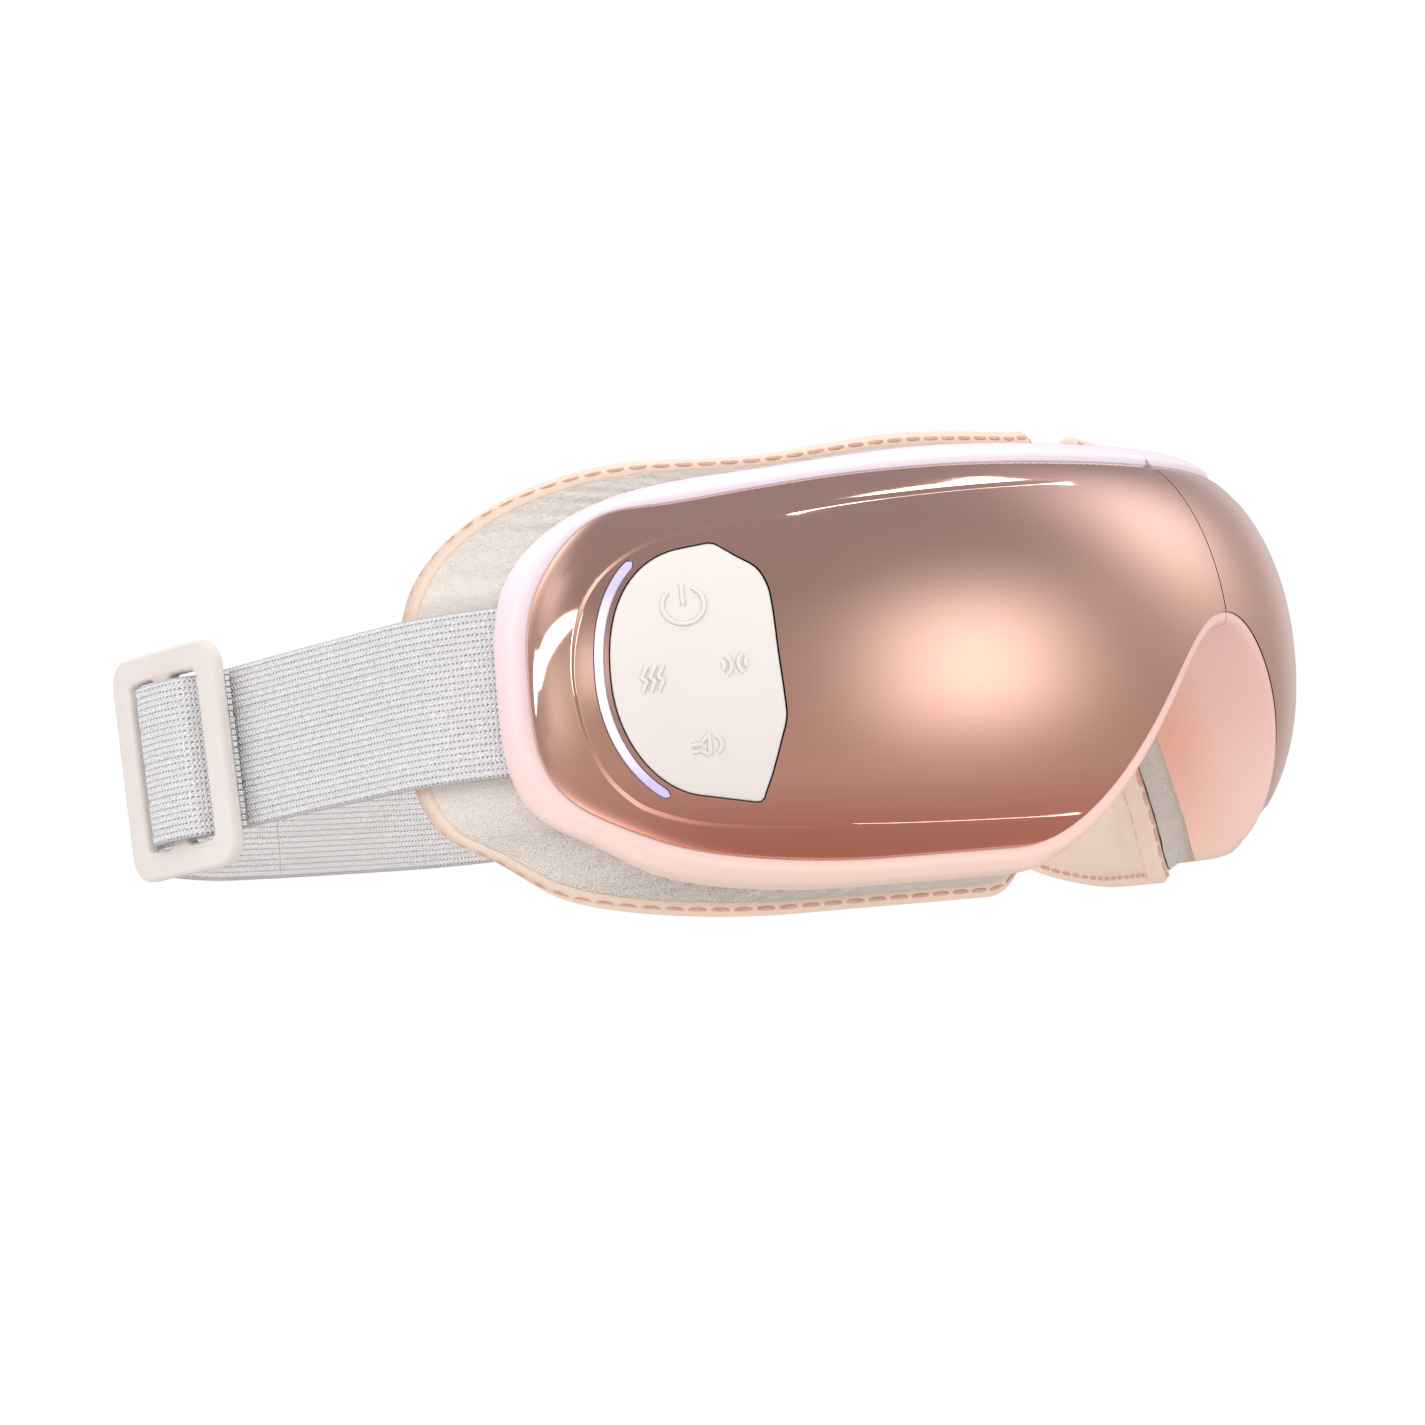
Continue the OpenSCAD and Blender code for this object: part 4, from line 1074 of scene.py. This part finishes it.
def webbing(line, width, thick, cols=73):
    """A flat webbing on edge along a line: rows of points round its section, and their UVs in millimetres."""
    along = np.gradient(line, axis=0)
    flat = along[:, :2] / np.linalg.norm(along[:, :2], axis=1, keepdims=True)
    out = np.stack([flat[:, 1], -flat[:, 0], np.zeros(len(line))], -1)
    v = np.linspace(0, 1, cols)
    edge = np.sqrt(np.maximum(1 - np.clip(1 - np.minimum(v, 1 - v) * width / 0.9, 0, 1) ** 2, 0))
    run = np.concatenate([[0], np.cumsum(np.linalg.norm(np.diff(line, axis=0), axis=1))])
    thick = np.broadcast_to(thick, len(line))
    rows, uvs = [], []
    for i, p in enumerate(line):
        t = thick[i] / 2
        face = edge * (t + np.where(edge > 0.99, rib_height(v), 0) - 0.08)
        z = (v - 0.5) * width
        outer = p + out[i] * face[:, None] + np.stack([z * 0, z * 0, z], -1)
        inner = p - out[i] * face[::-1, None] + np.stack([z * 0, z * 0, z[::-1]], -1)
        rows.append(np.concatenate([outer, inner[1:-1]]))
        uvs.append(np.stack([np.full(2 * cols - 2, run[i]), np.concatenate([v, v[::-1][1:-1]]) * width], -1))
    return np.stack(rows), np.stack(uvs), run[-1]


def webbing_object(name, rows, uvs, side, place=None):
    k, n = rows.shape[:2]
    verts = rows.reshape(-1, 3)
    verts = to_row(verts, side) if place is None else place(verts)
    caps = [tuple(range(n - 1, -1, -1)), tuple(range((k - 1) * n, k * n))]
    obj = make(name, verts, grid_faces(k, n, closed_cols=True) + caps, side)
    millimetre_uv(obj, uvs.reshape(-1, 2))
    sharp_over(obj, 60)
    return obj


TAIL = 3.0                # each half's thin tail runs this far past the middle, inside the other half


def strap(side_name):
    side = SIDES[side_name]
    z = STRAP_ROUTE[:, 2 if side < 0 else 3]
    line = catmull(np.stack([STRAP_ROUTE[:, 0], STRAP_ROUTE[:, 1], z], -1), 10)
    line = dense(line, 1.2)
    tail = line[-1] + np.outer(np.linspace(0.05, TAIL, 4), [-1, 0, 0])
    full = np.concatenate([line, tail])
    thick = np.concatenate([np.full(len(line), STRAP_T), np.full(len(tail), 1.2)])
    rows, uvs, length = webbing(full, STRAP_W, thick)
    obj = webbing_object(f"{side_name}_strap_elastic", rows, uvs, side)
    finish_piece(obj, "elastic_white", None,
                 [f"{side_name}_strap", f"{side_name}_strap_end"])
    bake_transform(obj)
    return obj


BUCKLE_AT, BUCKLE_TURN, BUCKLE_TILT, BUCKLE_OFF = np.array([79, 157, -3.9]), 14.0, 3.8, 4.6
BUCKLE_L, BUCKLE_H, BUCKLE_T, BAR, CENTRE_BAR = 31.0, 41.0, 2.6, 5.6, 4.4


def buckle_place(points):
    """The slide's own frame, +X back along the strap and +Y inwards, to the row frame on the right side."""
    c, s = math.cos(math.radians(BUCKLE_TILT)), math.sin(math.radians(BUCKLE_TILT))
    a = math.radians(90 + BUCKLE_TURN)
    tilt = np.array([[c, 0, s], [0, 1, 0], [-s, 0, c]])
    turn = np.array([[math.cos(a), -math.sin(a), 0], [math.sin(a), math.cos(a), 0], [0, 0, 1]])
    p = (np.asarray(points, float) - [0, BUCKLE_OFF, 0]) @ (turn @ tilt).T + BUCKLE_AT
    return to_row(p, -1)


def rounded_loop(x0, x1, z0, z1, r, n=8):
    points = []
    corners = ((x1 - r, z1 - r, 0), (x0 + r, z1 - r, 90), (x0 + r, z0 + r, 180), (x1 - r, z0 + r, 270))
    for cx, cz, a0 in corners:
        for a in np.radians(np.linspace(a0, a0 + 90, n)):
            points.append((cx + r * math.cos(a), cz + r * math.sin(a)))
    return points


def slide_buckle():
    """A moulded three-bar slide with rounded edges."""
    window = STRAP_W + 1.6
    slot = (BUCKLE_L - 2 * BAR - CENTRE_BAR) / 2
    curve = bpy.data.curves.new("slide", "CURVE")
    curve.dimensions, curve.fill_mode = "2D", "BOTH"
    soft = 0.85
    loops = [rounded_loop(-BUCKLE_L / 2, BUCKLE_L / 2, -BUCKLE_H / 2, BUCKLE_H / 2, 5)]
    for x in (-1, 1):
        c = x * (CENTRE_BAR + slot) / 2
        loops.append(rounded_loop(c - slot / 2, c + slot / 2, -window / 2, window / 2, 1.4))
    for loop in loops:
        spline = curve.splines.new("POLY")
        spline.points.add(len(loop) - 1)
        for point, (x, z) in zip(spline.points, loop):
            point.co = (x, z, 0, 1)
        spline.use_cyclic_u = True
    curve.extrude, curve.offset = BUCKLE_T / 2 - soft, -soft
    curve.bevel_depth, curve.bevel_resolution = soft, 4
    carrier = bpy.data.objects.new("slide", curve)
    bpy.context.scene.collection.objects.link(carrier)
    bpy.context.view_layer.update()
    mesh = bpy.data.meshes.new_from_object(carrier.evaluated_get(bpy.context.evaluated_depsgraph_get()))
    bpy.data.objects.remove(carrier)
    v = np.array([p.co for p in mesh.vertices])
    # The slide bows gently with the head.
    local = np.stack([v[:, 0], v[:, 2] + 0.35 * (v[:, 0] / 15.5) ** 2, v[:, 1]], -1)
    faces = [tuple(p.vertices) for p in mesh.polygons]
    obj = make("slide_skin", buckle_place(local), faces)
    welded(obj, 0.00001)
    bm = bmesh.new()
    bm.from_mesh(obj.data)
    bmesh.ops.recalc_face_normals(bm, faces=bm.faces)
    bm.to_mesh(obj.data)
    bm.free()
    obj.data.polygons.foreach_set("use_smooth", [True] * len(obj.data.polygons))
    sharp_over(obj, 40)
    return finish_piece(obj, "slide_plastic", "slide_buckle", ["slide_buckle"])


LOOP_ROUTE = [[-14.5, 2.6], [-11, 2.55], [-8.9, 1.9], [-7.4, 0], [-6.2, -1.9], [-3.4, -2.75], [0, -3],
              [3.4, -2.75], [6.2, -1.9], [7.4, 0], [8.9, 1.9], [11, 2.55], [14.5, 2.6]]


def buckle_loop():
    """The layer of elastic that passes over the slide's middle bar."""
    line = catmull(LOOP_ROUTE, 5)
    line = np.concatenate([line, np.zeros((len(line), 1))], 1)
    rows, uvs, length = webbing(line, STRAP_W, 1.2)
    obj = webbing_object("slide_loop_elastic", rows, uvs, -1, buckle_place)
    finish_piece(obj, "elastic_white", "slide_buckle", ["buckle_loop"])
    return obj


# ---------- build ----------
def camera():
    """Its turn, tilt and roll are in degrees, and its place is in millimetres along its own axes."""
    turn, lift, roll = map(math.radians, (57.89, -2.87, 4.97))
    right = Vector((math.cos(turn), -math.sin(turn), 0))
    back = Vector((-math.sin(turn) * math.cos(lift), -math.cos(turn) * math.cos(lift), math.sin(lift)))
    up = back.cross(right)
    right2 = math.cos(roll) * right - math.sin(roll) * up
    up2 = math.sin(roll) * right + math.cos(roll) * up
    place = -80.26 * right2 - 11.07 * up2 + 780.87 * back + Vector((0, -LOOP_MID, HALF_HEIGHT))
    data = bpy.data.cameras.new("camera")
    data.lens, data.sensor_width, data.clip_start, data.clip_end = 110.98, 36.0, 0.01, 50.0
    obj = bpy.data.objects.new("camera", data)
    obj.matrix_world = Matrix.Translation(place * MM) @ Matrix((right2, up2, back)).transposed().to_4x4()
    bpy.context.scene.collection.objects.link(obj)
    bpy.context.scene.camera = obj


camera()
for half in SIDES:
    cover(half)
    shell_frame(half)
    gusset(half)
    face_pad(half)
    eye_lining(half)
    strap(half)
control_panel()
light_bar()
bridge_boot()
slide_buckle()
buckle_loop()


# ---------- studio ----------
def direction(azimuth, elevation):
    """The unit vector towards a light, with azimuth 0 straight ahead of the mask and +90 towards its left."""
    a, e = math.radians(azimuth), math.radians(elevation)
    return Vector((math.sin(a) * math.cos(e), -math.cos(a) * math.cos(e), math.sin(e)))


LAMP_AIM, LAMP_DISTANCE = Vector((0, -0.07, 0.041)), 4.0


def soft_light(name, azimuth, elevation, size, watts, along=(1, 0, 0), glossy=True, shape="RECTANGLE"):
    """A flat lamp facing the mask, its long side as near to the given direction as it can lie."""
    data = bpy.data.lights.new(name, "AREA")
    data.shape, data.energy = shape, watts
    data.size, data.size_y = size
    obj = bpy.data.objects.new(name, data)
    towards = direction(azimuth, elevation)
    across = towards.cross(Vector(along)).normalized()
    obj.location = LAMP_AIM + towards * LAMP_DISTANCE
    obj.rotation_mode = "QUATERNION"
    obj.rotation_quaternion = Matrix((across.cross(towards), across, towards)).transposed().to_quaternion()
    obj.visible_glossy = glossy
    bpy.context.scene.collection.objects.link(obj)
    return obj


GLOWS = (                 # azimuth, elevation and width in degrees, and colour
    (0.5, 0, 14.5, (1.08, 1.03, 1.03)), (60, 26, 13, (0.95, 0.88, 0.88)), (-126, -2, 13, (0.40, 0.40, 0.40)),
    (-98, 7, 7, (0.55, 0.52, 0.52)), (-138, 30, 8, (0.45, 0.42, 0.42)), (103, 8, 10, (0.3, 0.27, 0.27)),
    (-178, 38, 13, (1.3, 1.15, 1.1)), (-178, -48, 14, (0.9, 0.8, 0.76)))
ROOM = [(0.0, (0.46, 0.33, 0.30)), (0.22, (0.54, 0.42, 0.39)), (0.5, (0.44, 0.38, 0.36)),
        (0.75, (0.36, 0.31, 0.32)), (1.0, (0.38, 0.34, 0.35))]


def studio_world():
    """A soft grey room: darker and cooler overhead, warmer below, with broad glows round the mask."""
    world = bpy.data.worlds.new("studio")
    world.use_nodes = True
    bpy.context.scene.world = world
    tree = world.node_tree
    tree.nodes.clear()

    def node(kind, inputs=(), **settings):
        n = tree.nodes.new(kind)
        for key, value in settings.items():
            setattr(n, key, value)
        for socket, value in dict(inputs).items():
            if isinstance(value, bpy.types.NodeSocket):
                tree.links.new(value, n.inputs[socket])
            else:
                n.inputs[socket].default_value = value
        return n

    def background(colour, strength=1.0):
        return node("ShaderNodeBackground", {"Color": colour, "Strength": strength}).outputs[0]

    towards = node("ShaderNodeTexCoord").outputs["Generated"]
    height = node("ShaderNodeSeparateXYZ", {0: towards}).outputs["Z"]
    height = node("ShaderNodeMapRange", {"Value": height, "From Min": -1}).outputs[0]
    ramp = node("ShaderNodeValToRGB", {"Fac": height})
    set_stops(ramp, ROOM)
    total = ramp.outputs["Color"]
    for azimuth, elevation, width, colour in GLOWS:
        # exp(k (cos a - 1)) falls off like a bell of about the given width in degrees
        sharp = 1 / (2 * (1 - math.cos(math.radians(width))))
        dot = node("ShaderNodeVectorMath", {0: towards, 1: direction(azimuth, elevation)},
                   operation="DOT_PRODUCT")
        less = node("ShaderNodeMath", {0: dot.outputs["Value"], 1: sharp, 2: -sharp},
                    operation="MULTIPLY_ADD")
        bell = node("ShaderNodeMath", {0: less.outputs[0]}, operation="EXPONENT")
        glow = node("ShaderNodeMix", {"Factor": bell.outputs[0], 6: total, 7: (*colour, 1)},
                    data_type="RGBA", blend_type="ADD", clamp_factor=False)
        total = glow.outputs[2]
    # Mirrors see the room, fabrics are lit by an even pale sky, and the camera sees plain white.
    ray = node("ShaderNodeLightPath").outputs
    lit = node("ShaderNodeMixShader", {"Fac": ray["Is Diffuse Ray"], 1: background(total),
                                       2: background((0.9, 0.87, 0.88, 1), 1.14)})
    seen = node("ShaderNodeMixShader", {"Fac": ray["Is Camera Ray"], 1: lit.outputs[0],
                                        2: background((1, 1, 1, 1))})
    node("ShaderNodeOutputWorld", {"Surface": seen.outputs[0]})


def floor():
    """A wide pale floor well under the mask. The mirror shells reflect the room, not the floor."""
    n = 96
    a = np.linspace(0, 2 * np.pi, n, endpoint=False)
    radii = (0.0, 0.5, 1.5, 4.0, 9.0)
    verts = [(0, 0, -0.32)] + [(r * math.cos(t), r * math.sin(t), -0.32) for r in radii[1:] for t in a]
    faces = [(0, 1 + i, 1 + (i + 1) % n) for i in range(n)]
    for k in range(len(radii) - 2):
        for i in range(n):
            p, q = 1 + k * n + i, 1 + k * n + (i + 1) % n
            faces.append((p, p + n, q + n, q))
    obj = make("floor", verts, faces)
    p = Paint("floor_paint")
    p.colour(p.noise(1.2, 2), [(0.3, (0.90, 0.90, 0.90)), (0.7, (0.93, 0.93, 0.93))])
    p.rough(p.noise(5, 2), 0.7, 0.8)
    p.shader.inputs["Emission Color"].default_value = (1, 1, 1, 1)
    p.shader.inputs["Emission Strength"].default_value = 0.62
    obj.data.materials.append(p.mat)
    obj.visible_glossy = obj.visible_diffuse = False


studio_world()
floor()
soft_light("top_strip", 40, 62, (3.5, 0.13), 15, (0.838, 0.045, -0.303))
soft_light("low_strip", 28, -55.7, (2.8, 0.07), 3.5, (0.665, 0.005, 0.2115))
soft_light("left_wedge", -135, 12.5, (4.7, 0.66), 26, (0.60, 0.66, -0.42), shape="ELLIPSE")
soft_light("front_fill", -50, 28, (2.6, 2.6), 28, glossy=False)
soft_light("inside_fill", 150, 40, (2.4, 2.4), 30, glossy=False)
soft_light("overhead", 60, 82, (3.2, 3.2), 40, glossy=False)
bpy.context.scene.view_settings.view_transform = "Standard"
